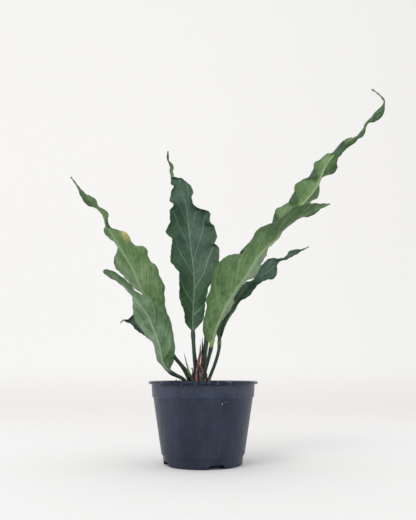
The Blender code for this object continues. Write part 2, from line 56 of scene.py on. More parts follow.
# %% [markdown]
# ## Putting things in the scene
# Everything new ends up as an object. Shapes are built in a bmesh, the editor's own form of a
# mesh, because its operators can grow, spin and cut them, and are turned into a mesh at the end.


# %% Define how an object is made
def put_in_scene(name, data):
    """A new object with this data."""
    made = bpy.data.objects.new(name, data)
    bpy.context.scene.collection.objects.link(made)
    return made


def put_mesh_in_scene(name, bm):
    """A new object from a bmesh, which is used up."""
    mesh = bpy.data.meshes.new(name)
    bm.to_mesh(mesh)
    bm.free()
    return put_in_scene(name, mesh)


# %% [markdown]
# ## The camera
# The photograph looks up at the plant a little: the pot's rim shows almost as a straight line.
# The distance and the pitch were worked out from how much the rim and the base curve. The
# camera is turned up rather than shifted, so other views keep a plain lens.

# %% Set up the camera
CAMERA_DISTANCE = 0.700
CAMERA_HEIGHT = 0.1037
CAMERA_PITCH = 11.52
CAMERA_YAW = -0.48
LENS = 38.86
SENSOR = 36.0

camera_data = bpy.data.cameras.new("camera")
camera_data.sensor_fit = "VERTICAL"
camera_data.sensor_height = SENSOR
camera_data.lens = LENS
camera = put_in_scene("camera", camera_data)
camera.location = (0.0, -CAMERA_DISTANCE, CAMERA_HEIGHT)
camera.rotation_euler = (math.radians(90.0 + CAMERA_PITCH), 0.0, math.radians(CAMERA_YAW))
bpy.context.scene.camera = camera
print("camera looks up by", CAMERA_PITCH, "degrees from", CAMERA_DISTANCE, "m away")

# %% [markdown]
# ## Colours and signals
# A finish is a little network of shader nodes, and numbers and colours flow between them. Wiring
# each node by hand takes many lines, so a signal here stands for what one node gives out, and
# arithmetic on signals adds the nodes that do it. Colours are given as they look on a screen,
# from 0 to 255, and turned into the linear light values that Blender works in.


# %% Define colours and signals
def screen_colour(red, green, blue):
    """A colour as a screen shows it, as linear light."""
    values = []
    for value in (red, green, blue):
        value = value / 255.0
        values.append(value / 12.92 if value <= 0.04045 else ((value + 0.055) / 1.055) ** 2.4)
    return (*values, 1.0)


class Signal:
    """What a node gives out."""

    def __init__(self, tree, socket):
        self.tree = tree
        self.socket = socket

    def __add__(self, other):
        return worked("ADD", self, other)

    def __sub__(self, other):
        return worked("SUBTRACT", self, other)

    def __mul__(self, other):
        return worked("MULTIPLY", self, other)

    def __truediv__(self, other):
        return worked("DIVIDE", self, other)

    def __abs__(self):
        return worked("ABSOLUTE", self)


def add_node(tree, kind, output, inputs=None, **settings):
    """Add one node with these settings and inputs, and give what comes out of it."""
    made = tree.nodes.new("ShaderNode" + kind)
    for name, value in settings.items():
        setattr(made, name, value)
    for name, value in (inputs or {}).items():
        feed(tree, value, made.inputs[name])
    return Signal(tree, made.outputs[output])


def feed(tree, value, socket):
    """Feed a socket with a signal, or with a plain value."""
    if isinstance(value, Signal):
        tree.links.new(value.socket, socket)
    else:
        socket.default_value = value


def worked(operation, *values):
    """One step of arithmetic on signals and numbers."""
    tree = next(value.tree for value in values if isinstance(value, Signal))
    return add_node(tree, "Math", 0, dict(enumerate(values)), operation=operation)


print("the middle grey of a screen is", round(screen_colour(128, 128, 128)[0], 3), "as light")

# %% [markdown]
# ## Patterns
# Every finish below is mixed from a few things: soft noise for what is uneven, soft steps that
# pick a part of a range, and blends of two colours. Places are read from the object's own
# coordinates, so a pattern stays with its piece. Relief too fine to model is a bump.


# %% Define the patterns
def new_finish(name):
    """A new material, and the place of each point on its object."""
    made = bpy.data.materials.new(name)
    made.use_nodes = True
    return made, add_node(made.node_tree, "TexCoord", "Object")


def painted(finish, name):
    """A number that is stored on the points of the mesh."""
    return add_node(finish.node_tree, "Attribute", "Fac", attribute_name=name)


def height_of(where):
    """The height of each point on its object."""
    return add_node(where.tree, "SeparateXYZ", "Z", {0: where})


def fade(value, low, high, at_low=0.0, at_high=1.0):
    """A soft step: at_low where the value is low, at_high where it is high."""
    inputs = {"From Min": low, "From Max": high, "To Min": at_low, "To Max": at_high}
    inputs["Value"] = value
    return add_node(value.tree, "MapRange", "Result", inputs, interpolation_type="SMOOTHSTEP")


def cloud(where, size_mm, detail=3.0, roughness=0.55, stretch=None):
    """Soft noise with features of about this size."""
    if stretch:
        where = add_node(where.tree, "Mapping", "Vector", {"Vector": where, "Scale": stretch})
    inputs = {"Vector": where, "Scale": 1000.0 / size_mm}
    inputs.update({"Detail": detail, "Roughness": roughness})
    return add_node(where.tree, "TexNoise", "Fac", inputs)


def blend(share, first, second, how="MIX"):
    """Two colours, as signals or as screen colours, mixed by a share from 0 to 1."""
    first, second = (
        colour if isinstance(colour, Signal) else screen_colour(*colour)
        for colour in (first, second)
    )
    inputs = {0: share, 6: first, 7: second}
    return add_node(share.tree, "Mix", 2, inputs, data_type="RGBA", blend_type=how)


def complete(finish, colour, roughness, relief=None, depth_mm=0.0, strength=1.0,
             shine=0.5, tint=(1.0, 1.0, 1.0, 1.0)):
    """Feed the shader of a finish: colour, roughness, fine relief, and how it shines."""
    tree = finish.node_tree
    inputs = {"Base Color": colour, "Roughness": roughness}
    inputs.update({"Specular IOR Level": shine, "Specular Tint": tint})
    if relief is not None:
        bump = {"Height": relief, "Distance": depth_mm * MM, "Strength": strength}
        inputs["Normal"] = add_node(tree, "Bump", "Normal", bump)
    for name, value in inputs.items():
        feed(tree, value, tree.nodes["Principled BSDF"].inputs[name])


print("features of 5 mm are noise at a scale of", 1000.0 / 5)

# %% [markdown]
# ## The stage
# The photograph is a product shot on white: a seamless sheet that runs from under the pot up
# behind it, and light that comes softly from all round. One grid bent into a sweep does for the
# sheet, so there is no line between floor and wall.

# %% Make the floor and the backdrop
SWEEP_WIDTH = 6.0
SWEEP_FRONT = -2.2
SWEEP_BACK = 1.1
SWEEP_RADIUS = 0.9
SWEEP_TOP = 3.2
FLOOR_DROP = 0.0002
FLOOR_TINT_HEIGHT = 0.15


def sweep_point(distance):
    """Depth and height on the sheet, by distance from its front edge."""
    flat = SWEEP_BACK - SWEEP_FRONT
    arc = SWEEP_RADIUS * math.pi / 2
    if distance <= flat:
        return SWEEP_FRONT + distance, 0.0
    if distance <= flat + arc:
        turn = (distance - flat) / SWEEP_RADIUS
        return SWEEP_BACK + SWEEP_RADIUS * math.sin(turn), SWEEP_RADIUS * (1 - math.cos(turn))
    return SWEEP_BACK + SWEEP_RADIUS, SWEEP_RADIUS + distance - flat - arc


sweep_length = SWEEP_BACK - SWEEP_FRONT + SWEEP_RADIUS * math.pi / 2 + SWEEP_TOP - SWEEP_RADIUS
sheet = bmesh.new()
bmesh.ops.create_grid(sheet, x_segments=8, y_segments=90, size=1.0)
for point in sheet.verts:
    depth, height = sweep_point((point.co.y + 1) / 2 * sweep_length)
    point.co = (point.co.x * SWEEP_WIDTH / 2, depth, height - FLOOR_DROP)
bmesh.ops.recalc_face_normals(sheet, faces=sheet.faces[:])
floor = put_mesh_in_scene("floor", sheet)
floor.data.shade_smooth()

floor_finish, where = new_finish("white_sheet")
white = blend(cloud(where, 700.0, 1.0), (254, 253, 252), (253, 252, 250))
low = fade(height_of(where), 0.0, FLOOR_TINT_HEIGHT, 1.0, 0.0)
complete(floor_finish, blend(low, white, (246, 244, 242)), 0.9, shine=0.1)
floor.data.materials.append(floor_finish)
print("floor and backdrop are", round(sweep_length, 2), "m of sheet")

# %% [markdown]
# ## The light
# The leaves show hardly any hard shadow, so most of the light is a bright even surround. A wide
# panel above on the left gives the leaves their form. Two upright bluish panels stand beside the
# pot: its smooth wall mirrors them as the two soft bright bands near its left and right edges.

# %% Add the lights
SURROUND = 0.80
KEY_POWER = 26.0
SIDE_POWER = 0.7
SIDE_COLOUR = (0.62, 0.78, 1.0)
SURROUND_COLOUR = (0.99, 0.995, 1.0, 1.0)

bpy.context.scene.view_settings.view_transform = "Standard"
world = bpy.data.worlds.new("studio")
bpy.context.scene.world = world
world.use_nodes = True
surround = world.node_tree.nodes["Background"]
surround.inputs["Color"].default_value = SURROUND_COLOUR
surround.inputs["Strength"].default_value = SURROUND


def add_panel(name, place, aim, size, power, colour=(1.0, 1.0, 1.0)):
    """A soft flat lamp that points at a place."""
    lamp = bpy.data.lights.new(name, "AREA")
    lamp.shape = "RECTANGLE"
    lamp.size, lamp.size_y = size
    lamp.energy = power
    lamp.color = colour
    made = put_in_scene(name, lamp)
    made.location = place
    made.rotation_euler = (Vector(aim) - Vector(place)).to_track_quat("-Z", "Y").to_euler()


add_panel("key_light", (-1.3, -1.9, 2.5), (0.0, 0.0, 0.2), (1.3, 1.3), KEY_POWER)
for name, x in (("left_light", -0.9), ("right_light", 0.9)):
    add_panel(name, (x, 0.0, 0.45), (0.0, 0.0, 0.15), (0.25, 0.6), SIDE_POWER, SIDE_COLOUR)

# %% [markdown]
# ## Finishing a piece
# Every piece is modelled in a bmesh. This helper turns it into an object, shades it smooth, gives
# it its finish, and hides the solid of the model that it stands for.


# %% Define how a piece is finished
def finish_piece(name, bm, finish, replaced=None, recalc=True, sharp=None):
    """Make the object from a bmesh and hang it on the plant's one body."""
    if recalc:
        bmesh.ops.recalc_face_normals(bm, faces=bm.faces[:])
    made = put_mesh_in_scene(name, bm)
    mesh = made.data
    mesh.shade_smooth()
    if sharp:
        mesh.set_sharp_from_angle(angle=math.radians(sharp))
    mesh.materials.append(finish)
    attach(made, "root")
    if replaced:
        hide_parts(replaced)
    print(f"{name}: {sum(len(face.vertices) - 2 for face in mesh.polygons)} triangles")


print("solids to replace:", len(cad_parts))

# %% [markdown]
# ## Curves through a few points
# A leaf is described by a few readings: where its midrib goes, how wide it is, how far each edge
# reaches. Between them the shape has to run smoothly. One curve may swing a little past its
# points, which suits a midrib. The other never does, which suits a width.


# %% Define the curves
def eased(share):
    """A share held between 0 and 1 that starts and ends gently."""
    share = np.clip(share, 0.0, 1.0)
    return share ** 2 * (3 - 2 * share)


def hermite(knots, values, slopes, at):
    """A cubic between the two knots on either side, with a given slope at each."""
    index = np.clip(np.searchsorted(knots, at) - 1, 0, len(knots) - 2)
    span = (knots[index + 1] - knots[index])[:, None]
    part = (at[:, None] - knots[index][:, None]) / span
    a, b = values[index], values[index + 1]
    slope_a, slope_b = slopes[index] * span, slopes[index + 1] * span
    return (
        a * (1 + 2 * part) * (1 - part) ** 2
        + b * part ** 2 * (3 - 2 * part)
        + slope_a * part * (1 - part) ** 2
        - slope_b * part ** 2 * (1 - part)
    )


def smooth(knots, values, at):
    """A smooth curve through the values at the knots."""
    knots = np.asarray(knots, float)
    values = np.asarray(values, float)
    return hermite(knots, values, np.gradient(values, knots, axis=0), at)


def reading(pairs, at):
    """A smooth curve through (distance, value) pairs that never swings past them."""
    knots, values = np.array(pairs, float).T
    rise = np.diff(values) / np.diff(knots)
    before, after = rise[:-1], rise[1:]
    same_way = before * after > 0
    inner = np.where(same_way, 2 * before * after / np.where(same_way, before + after, 1.0), 0.0)
    slopes = np.concatenate([[rise[0]], inner, [rise[-1]]])
    at = np.clip(at, knots[0], knots[-1])
    return hermite(knots, values[:, None], slopes[:, None], at)[:, 0]


def unit(vectors):
    """The same directions, with a length of 1."""
    length = np.linalg.norm(vectors, axis=-1, keepdims=True)
    return vectors / np.maximum(length, 1e-9)


def distances(points):
    """How far along a line of points each one lies."""
    steps = np.linalg.norm(np.diff(np.array(points, float), axis=0), axis=1)
    return np.concatenate([[0.0], np.cumsum(steps)])


halfway = reading([(0, 0), (1, 10), (2, 12)], np.array([0.5]))[0]
print("a smooth reading halfway from 0 to 10:", round(float(halfway), 2))

# %% [markdown]
# ## The shape of a leaf
# Each leaf is a round stalk that spreads into a thin blade, folded along a raised midrib and
# ruffled at its edges. The same readings that shaped the solid model shape the finished leaf,
# so the two agree, and here they are read about four times as finely.
# Distances are in millimetres. The spine runs from the foot of the stalk to the tip, and its
# first "stalk_points" points are the stalk's. All other readings run along the blade from there.
# "faces" is 1 where the viewer sees the upper side and -1 where they see the underside. "left"
# and "right" are how far each edge reaches as the viewer sees it, and the rest of the width
# turns toward the viewer or away. "ridge" is how far the midrib stands out, "fan" how strongly
# the side veins fan out, and "twist" turns the blade by so many degrees. "fold_left" and
# "fold_right" are new here: how wide a strip of the margin folds over and shows the other side.

# %% Give the readings of the three leaves on the left
LEAVES = {}
LEAVES["leaf_tall_left"] = {
    "faces": -1, "stalk": 2.3, "ridge": 1.5, "stalk_points": 6, "fan": 4.2,
    "spine": [
        (-11, -0.5, 80), (-12.5, -1.5, 92), (-16, -3.5, 102), (-26, -5, 114), (-36, -7, 126),
        (-44, -10, 146), (-51, -13, 161), (-59, -16, 176), (-73, -22, 202), (-87, -32, 231),
        (-97, -39, 248), (-104, -44, 259), (-111, -50, 271), (-115, -53, 277), (-118, -57, 287),
        (-124, -60, 295), (-142, -68, 313), (-156, -72, 331),
    ],
    "width": [
        (0, 2.3), (20, 16), (50, 28), (90, 32), (120, 27), (140, 17), (152, 8), (160, 5), (170, 6),
        (190, 7), (205, 5), (218, 1.5), (227, 0.8),
    ],
    "left": [
        (0, 2), (15, 7), (33, 9), (50, 6), (63, 2.8), (68, 4.6), (74, 8.8), (88, 13.5), (97, 15.5),
        (106, 17.5), (112, 16.5), (118, 14), (123, 7), (128, 1.8), (134, 2), (140, 5), (147, 7.5),
        (153, 6), (157, 1.5), (178, 1), (185, 4), (191, 6.5), (204, 4), (216, 1.2), (227, 0.8),
    ],
    "right": [
        (0, 2), (15, 12.5), (32, 14.5), (50, 22.5), (60, 27.5), (73, 26.5), (86, 29), (93, 25),
        (99, 24), (107, 27.5), (113, 25), (119, 16), (128, 16.5), (135, 17.5), (140, 14), (147, 7),
        (152, 3), (160, 2.8), (168, 7), (174, 5), (179, 1.2), (184, 3.5), (190, 5.8), (200, 2),
        (227, 0.8),
    ],
    "fold_right": [(0, 0), (149, 0), (153, 5), (161, 5), (165, 0), (227, 0)],
}
LEAVES["leaf_front_left"] = {
    "faces": -1, "stalk": 2.2, "ridge": 1.4, "stalk_points": 6, "fan": 3.0,
    "spine": [
        (-12, -7, 79), (-14.5, -8, 86), (-19, -10.5, 93), (-25, -13, 99), (-33, -18, 103),
        (-41, -24, 108), (-47, -28, 117), (-50, -34, 133), (-59, -44, 158), (-64, -49, 170),
        (-72, -55, 181), (-83, -63, 195), (-100, -74, 212), (-112, -80, 218),
    ],
    "width": [
        (0, 3.5), (12, 13), (30, 20), (50, 25), (75, 25), (90, 20), (100, 10), (112, 7), (130, 7),
        (141, 6), (145, 4), (147, 1.5),
    ],
    "left": [
        (0, 2), (8, 2.5), (20, 7), (33, 6.5), (40, 6), (47, 10), (59, 14), (74, 16), (86, 11.5),
        (96, 5), (101, 1.5), (111, 2), (127, 3), (141, 3.3), (145, 2.4), (147, 1),
    ],
    "right": [
        (0, 4.5), (4, 10), (8, 13), (24, 16), (34, 18.5), (47, 21), (58, 22), (68, 21.5), (80, 20),
        (89, 16), (97, 8), (104, 5.5), (125, 5), (137, 4.8), (143, 4), (147, 1),
    ],
}
LEAVES["leaf_back_left"] = {
    "faces": 1, "stalk": 2.1, "ridge": 1.3, "stalk_points": 6,
    "spine": [
        (-14, 6, 81), (-16, 7.5, 92), (-20, 9.5, 102), (-27, 12, 114), (-37, 15, 126),
        (-46, 19, 137), (-55, 23, 147), (-69, 29, 159), (-83, 36, 166), (-92, 40, 171),
        (-100, 43, 173), (-106, 45, 174), (-110, 46, 170),
    ],
    "width": [(0, 2.1), (15, 11), (33, 17), (50, 17), (62, 12), (70, 6), (77, 2), (83, 0.8)],
    "left": [(0, 2), (14, 7), (29, 9.5), (46, 8), (58, 6), (65, 3), (77, 1.2), (83, 0.8)],
    "right": [(0, 2), (14, 9), (33, 15), (50, 15), (62, 12), (66, 8), (71, 1.5), (83, 0.8)],
}
print("leaves on the left:", list(LEAVES))

# %% Give the readings of the leaf in the middle
LEAVES["leaf_centre"] = {
    "faces": 1, "stalk": 2.4, "ridge": 1.6, "stalk_points": 5, "fan": 5.3,
    "spine": [
        (-7, 4, 80), (-7, 4.5, 92), (-9, 5, 106), (-11.5, 6, 133), (-13, 10, 158), (-13, 16, 187),
        (-12, 22, 209), (-13, 30, 236), (-18, 44, 279), (-23, 58, 323), (-29, 68, 356),
        (-38, 74, 375), (-45, 78, 390), (-48, 81, 401), (-52, 83, 411), (-53, 86, 429),
    ],
    "width": [
        (0, 2.4), (12, 11), (30, 18), (55, 25), (80, 31), (105, 37), (150, 37), (175, 33),
        (195, 27), (215, 18), (232, 11), (241, 5), (250, 3), (261, 6), (270, 2), (288, 0.8),
    ],
    "left": [
        (0, 2), (6, 7), (12, 10), (24, 11), (34, 15), (47, 19), (69, 19.5), (80, 18), (95, 25),
        (102, 28.5), (119, 26), (134, 23), (147, 31.5), (154, 29), (165, 23.5), (182, 23),
        (194, 16.5), (202, 21.5), (221, 14.5), (227, 7), (233, 9), (241, 4.5), (249, 1.2),
        (261, 4.5), (269, 1.2), (288, 0.8),
    ],
    "right": [
        (0, 2), (7, 8.5), (15, 13.5), (31, 14.5), (50, 16.5), (58, 18), (67, 24), (80, 31),
        (93, 35), (112, 37.5), (121, 32), (132, 37), (148, 35), (158, 29.5), (168, 32), (176, 28),
        (182, 16), (189, 10.5), (198, 9.5), (205, 14), (212, 15), (224, 12), (232, 9), (240, 1.5),
        (252, 3.5), (262, 1), (288, 0.8),
    ],
    "twist": [(0, 0), (239, 0), (246, 170), (264, 190), (272, 350), (288, 360)],
}
print("from foot to tip it is", round(distances(LEAVES["leaf_centre"]["spine"])[-1]), "mm")

# %% Give the readings of the three leaves on the right
LEAVES["leaf_right_front"] = {
    "faces": -1, "stalk": 2.2, "ridge": 1.5, "stalk_points": 5, "fan": 3.0,
    "spine": [
        (-3, -5, 80), (-2, -6, 90), (0.5, -7.5, 101), (7.5, -12, 127), (10.5, -16, 140),
        (14, -20, 155), (20, -25, 169), (28, -32, 186), (37, -38, 200), (52, -49, 220),
        (69, -61, 244), (75, -65, 249), (84, -70, 257), (92, -75, 267), (100, -80, 273),
        (110, -84, 280), (121, -89, 285), (142, -97, 291),
    ],
    "width": [
        (0, 2.5), (17, 15), (32, 22), (52, 29), (77, 35), (102, 33), (127, 28), (152, 23),
        (177, 15), (197, 9), (212, 4), (224, 0.8),
    ],
    "left": [
        (0, 4.5), (4, 9), (14, 14.5), (24, 18), (39, 21), (46, 25), (57, 26), (66, 31), (75, 34),
        (86, 36), (99, 33), (108, 27), (113, 19), (118, 18), (130, 19.5), (137, 22.5), (146, 23),
        (158, 18.5), (166, 12), (179, 12.5), (188, 13), (193, 11), (205, 8), (219, 2.5),
        (224, 0.8),
    ],
    "right": [
        (0, 2.5), (30, 2.5), (40, 6), (50, 8), (57, 7.5), (63, 3.5), (76, 2.5), (88, 3.5), (94, 7),
        (99, 9.5), (106, 9.5), (114, 8.5), (127, 7.5), (133, 4.5), (138, 1), (175, 0.8),
        (187, 1.5), (199, 5.5), (204, 5.5), (214, 2), (224, 0.8),
    ],
}
LEAVES["leaf_tall_right"] = {
    "faces": -1, "stalk": 2.9, "ridge": 1.6, "stalk_points": 6,
    "spine": [
        (-1, 1, 80), (0, 2, 92), (1, 2, 102), (1.4, 1.5, 123), (3.2, 0, 139), (5.6, -1, 157),
        (12, -4, 180), (26, -7, 209), (46, -11, 239), (69, -15, 265), (96, -20, 291),
        (124, -25, 313), (142, -30, 335), (153, -35, 359), (165, -39, 375), (177, -43, 387),
        (184, -45, 390), (191, -47, 394), (198, -48, 402), (205, -50, 413), (215, -52, 421),
        (222, -54, 430), (225, -55, 438), (221, -56, 444), (210, -57, 453),
    ],
    "width": [
        (0, 2.5), (24, 13), (56, 24), (93, 29), (130, 28), (165, 25), (185, 22), (200, 22),
        (220, 24), (240, 17.5), (255, 15.5), (268, 11.5), (278, 8), (290, 7.5), (300, 6.5),
        (311, 3.5), (318, 5), (326, 2.2), (338, 5), (348, 7.5), (356, 6), (366, 0.9), (376, 1.4),
        (390, 0.8),
    ],
    "left": [
        (0, 2.4), (24, 8), (56, 13), (93, 10), (125, 9), (142, 4), (158, 6), (170, 16.5),
        (182, 14), (191, 15), (203, 18), (215, 24), (221, 21.5), (233, 18), (239, 13.5), (246, 13),
        (254, 15.5), (262, 9.5), (270, 9), (277, 4), (283, 4.5), (290, 4.8), (295, 5.2),
        (303, 4.4), (311, 0.8), (318, 1.6), (325, 1), (332, 1.6), (338, 1.8), (348, 5), (356, 4),
        (363, 0.8), (376, 1.3), (390, 0.5),
    ],
    "right": [
        (0, 2.4), (24, 9), (56, 11), (93, 12), (125, 9), (150, 8), (185, 7), (211, 6), (219, 9),
        (226, 7.5), (230, 4), (233, 1.2), (238, 1), (243, 1.6), (247, 5.5), (251, 11.5), (259, 14),
        (265, 13), (270, 9), (275, 7), (290, 7), (300, 6), (307, 4.6), (311, 3.2), (316, 5),
        (321, 4.8), (326, 2), (332, 2), (338, 4.4), (348, 7), (356, 5.8), (363, 2), (376, 1.2),
        (390, 0.5),
    ],
    "fold_left": [
        (0, 0), (96, 0), (108, 5.5), (121, 5), (134, 0), (146, 0), (156, 7), (163, 8), (171, 0),
        (185, 0), (194, 8.5), (201, 9), (210, 0), (229, 0), (239, 8), (245, 8.5), (254, 0),
        (271, 0), (280, 10.5), (291, 11), (297, 0), (306, 0), (312, 6.5), (322, 6.5), (328, 0),
        (333, 0), (339, 9), (348, 11.5), (359, 9), (366, 0), (390, 0),
    ],
}
LEAVES["leaf_right_back"] = {
    "faces": 1, "stalk": 2.1, "ridge": 1.3, "stalk_points": 6,
    "spine": [
        (3.5, 6.5, 81), (5, 8, 91), (8, 8.5, 100), (14, 9.5, 115), (20, 12, 137), (20.5, 15, 148),
        (23, 21, 164), (33, 30, 186), (46, 37, 201), (56, 44, 214), (76, 56, 234), (88, 62, 242),
        (102, 70, 256), (108, 73, 261), (115, 76, 264), (122, 79, 270), (134, 84, 275),
        (153, 92, 285),
    ],
    "width": [
        (0, 2.1), (17, 13), (43, 15), (64, 14), (100, 14), (128, 16), (145, 13), (155, 8),
        (163, 2.5), (170, 3), (178, 6), (190, 5), (202, 1.5), (213, 0.8),
    ],
    "left": [
        (0, 2), (17, 8), (43, 11), (60, 9), (72, 6.5), (92, 7), (98, 3.5), (104, 2.5), (109, 5),
        (116, 9.5), (124, 12.5), (143, 12.5), (152, 7.5), (158, 3), (172, 1.8), (180, 5),
        (190, 4.5), (202, 1.2), (213, 0.8),
    ],
    "right": [
        (0, 2), (10, 5), (24, 6.5), (46, 7.5), (63, 4.5), (80, 9), (94, 8), (114, 7.5), (122, 8),
        (130, 13), (143, 8), (151, 2), (163, 1.5), (169, 3), (179, 3.5), (188, 2.5), (200, 1),
        (213, 0.8),
    ],
    "fold_right": [(0, 0), (4, 0), (12, 2.6), (40, 3.4), (60, 2.8), (72, 0), (213, 0)],
}
print("leaves:", len(LEAVES))

# %% [markdown]
# ## Setting out the blade
# Cross-sections go close together on the blade, where the margin is ruffled, and further apart
# on the plain stalk. What is read along the leaf can also be evened out along it, by a weighted
# mean of the neighbours.

# %% Set out places along the leaf
BLADE_STEP = 1.3
STALK_STEP = 3.0
BLADE_LEAD = 8.0


def places_along(leaf):
    """Where the cross-sections go along the midrib, and where the blade starts."""
    knots = distances(leaf["spine"])
    start = knots[leaf["stalk_points"] - 1]
    blade_from = start - BLADE_LEAD
    stalk = np.linspace(0.0, blade_from, round(blade_from / STALK_STEP) + 1)
    blade = np.linspace(blade_from, knots[-1], round((knots[-1] - blade_from) / BLADE_STEP) + 1)
    return np.concatenate([stalk, blade[1:]]), start


def along_weights(places, length):
    """How much of each neighbour a section takes when values are evened out along the leaf."""
    weights = np.exp(-((places[:, None] - places) / length) ** 2) * np.gradient(places)
    return weights / weights.sum(axis=1, keepdims=True)


tall_places, tall_start = places_along(LEAVES["leaf_tall_right"])
print("cross-sections on the tallest leaf:", len(tall_places))

# %% [markdown]
# ## The cross-section
# Across the leaf, points are wanted close together on the midrib and at the margin. A complex
# number is a handy way to hold a point of the cross-section: its real part is how far across,
# its imaginary part how far toward the viewer, and turning it is one multiplication.
# On a real leaf the waves of the margin die out toward the midrib. So each section runs from a
# calm direction near the midrib, evened out along the leaf, to its own edge. Where a margin
# folds over, the section runs out flat and back again, and it is evened out there as well.

# %% Fold a margin over
FLATTEST = 0.97
FOLD_ANGLE = 165.0
FOLD_ARC = 3.2


def folded_section(side, faces, seen, strip, share):
    """Half a cross-section that runs out flat and then folds back toward the viewer."""
    inner = seen / FLATTEST
    arc = share * (inner + strip)[:, None]
    between = (arc[:, 1:] + arc[:, :-1]) / 2
    turn = np.clip((between - inner[:, None]) / FOLD_ARC + 0.5, 0.0, 1.0)
    turn = side * turn * math.radians(FOLD_ANGLE)
    heading = (side * FLATTEST + 0.1j * faces) * np.exp(1j * turn)
    reach = np.cumsum(np.diff(arc, axis=1) * heading, axis=1)
    return np.concatenate([0 * arc[:, :1], reach], axis=1), arc


print("a folded margin turns back by", FOLD_ANGLE, "degrees within", FOLD_ARC, "mm")

# %% Shape half a cross-section
MIDRIB_DISTANCES = np.array([0.0, 0.45, 0.95, 1.5, 2.3])
MIDRIB_SHARE = 0.4
OUTER_SHARES = 1 - (1 - np.linspace(0.0, 1.0, 15)[1:]) ** 1.25
THINNEST = 0.8
NARROWEST = 0.5
CALM_LENGTH = 16.0
CALM_SPREAD = 1.3
CALM_REACH = 1.4
WAVE_DEPTH = 0.4
BELLY = 0.3
BELLY_FROM = 2.5
FOLD_WHOLE = 4.5
FOLD_LENGTH = 3.0
FOLD_FROM = 0.2
FOLD_OPENS = 0.4


def half_section(leaf, side, places, blade_place):
    """One half of every cross-section, from the midrib to the edge."""
    faces = leaf["faces"]
    name = "left" if side < 0 else "right"
    flat = np.maximum(reading(leaf["width"], blade_place), THINNEST)
    seen = np.maximum(reading(leaf[name], blade_place), NARROWEST)
    width = np.maximum(flat, seen / FLATTEST)
    edge = side * seen + 1j * faces * np.sqrt(width ** 2 - seen ** 2)
    calm = along_weights(places, CALM_LENGTH) @ edge
    calm_seen = np.minimum(np.abs(calm.real), CALM_SPREAD * seen + NARROWEST)
    calm = side * calm_seen + 1j * calm.imag
    edge -= 1j * (1 - WAVE_DEPTH) * (edge - calm).imag
    calm *= np.minimum(1.0, CALM_REACH * width / np.abs(calm))

    evenly = np.linspace(0.0, MIDRIB_SHARE, len(MIDRIB_DISTANCES))
    near = np.minimum(MIDRIB_DISTANCES / width[:, None], evenly)
    share = np.concatenate([near, near[:, -1:] + (1 - near[:, -1:]) * OUTER_SHARES], axis=1)
    reach = share * (calm[:, None] + (edge - calm)[:, None] * share ** 2)
    belly = width * BELLY * np.minimum(1.0, BELLY_FROM * seen / width)
    bowed = belly[:, None] * (share - share ** 2)
    reach -= 1j * side * faces * (calm / np.abs(calm))[:, None] * bowed
    across = share * width[:, None]

    if "fold_" + name in leaf:
        strip = np.maximum(reading(leaf["fold_" + name], blade_place), 0.0)
        folded, arc = folded_section(side, faces, seen, strip, share)
        held = eased(strip / FOLD_WHOLE)[:, None] * eased((share - FOLD_FROM) / FOLD_OPENS)
        evening = along_weights(places, FOLD_LENGTH)
        reach = evening @ (reach * (1 - held) + folded * held)
        across = evening @ (across * (1 - held) + arc * held)
    return reach, across, share


tall_half = half_section(LEAVES["leaf_tall_right"], 1, tall_places, tall_places - tall_start)
print("its right half is up to", round(float(tall_half[1].max()), 1), "mm wide")

# %% [markdown]
# ## Veins
# Side veins leave the midrib at a narrow angle, narrower still near the tip, and the blade swells
# a little between them. One rule gives the height on the midrib where the vein through any point
# starts. The mesh uses it for the swelling, and the finish for the fine pale lines.

# %% Write the vein rule
VEIN_RISE = 0.6
VEIN_BEND = 0.005
VEIN_FAN = 5.8
VEIN_SPACING = 38.0
VEIN_FIRST = 19.0
VEIN_OTHER_SIDE = 20.0
SWELL = 0.4
SWELL_FROM = 5.0
UNEVEN = 0.55
RIPPLE = 0.35
RIPPLE_LENGTH = 1.55


def vein_start(along, across, fan):
    """Where on the midrib the vein through this point starts."""
    distance = np.abs(across)
    shift = VEIN_FIRST + np.where(across < 0, VEIN_OTHER_SIDE, 0.0)
    risen = VEIN_RISE * distance + VEIN_BEND * distance ** 2
    return (along - risen) / (1 + fan * distance) + shift


def swelling(along, across, share, fan, seed):
    """How far the blade stands up between its veins, with some unevenness."""
    wave = 0.5 - 0.5 * np.cos(4 * math.pi * vein_start(along, across, fan) / VEIN_SPACING)
    held = np.clip(np.abs(across) / SWELL_FROM, 0.0, 1.0) * (1 - 0.6 * share)
    broad = np.sin(along / 11.0 + seed) * np.cos(across / 6.5 - seed)
    broad = broad + 0.6 * np.sin(along / 6.3 + across / 5.1 + 2.0 * seed)
    ripple = np.sin(along / RIPPLE_LENGTH + 3.0 * np.sin(along / 17.0 + seed)) * share ** 4
    return SWELL * wave * held + UNEVEN * broad * share + RIPPLE * ripple


print("veins on a midrib of 300 mm:", 2 * round(300 / VEIN_SPACING))

# %% [markdown]
# ## Growing the leaf's skin
# The skin is one grid, rolled into a tube so that its two long edges meet. Half of the tube is
# the upper side, half the underside. Low on the leaf it is drawn in to a round stalk, with a
# shallow groove and a swelling under the blade.
# Each point also stores where it lies on the leaf, so that the finish can follow the veins.

# %% Set out the middle of the blade
VIEWER = (0.0, -700.0, 104.0)


def midrib_line(leaf):
    """The places along a leaf, the spine's points there and the directions round them."""
    places, start = places_along(leaf)
    spine = smooth(distances(leaf["spine"]), leaf["spine"], places)
    along = unit(np.gradient(spine, places, axis=0))
    toward = unit(np.array(VIEWER) - spine)
    right = unit(np.cross(along, toward))
    return SimpleNamespace(
        places=places, blade=places - start, spine=spine, along=along, toward=toward, right=right)


def both_halves(left, right):
    """Two halves that each run out from the midrib, joined from edge to edge."""
    return np.concatenate([left[:, :0:-1], right], axis=1)


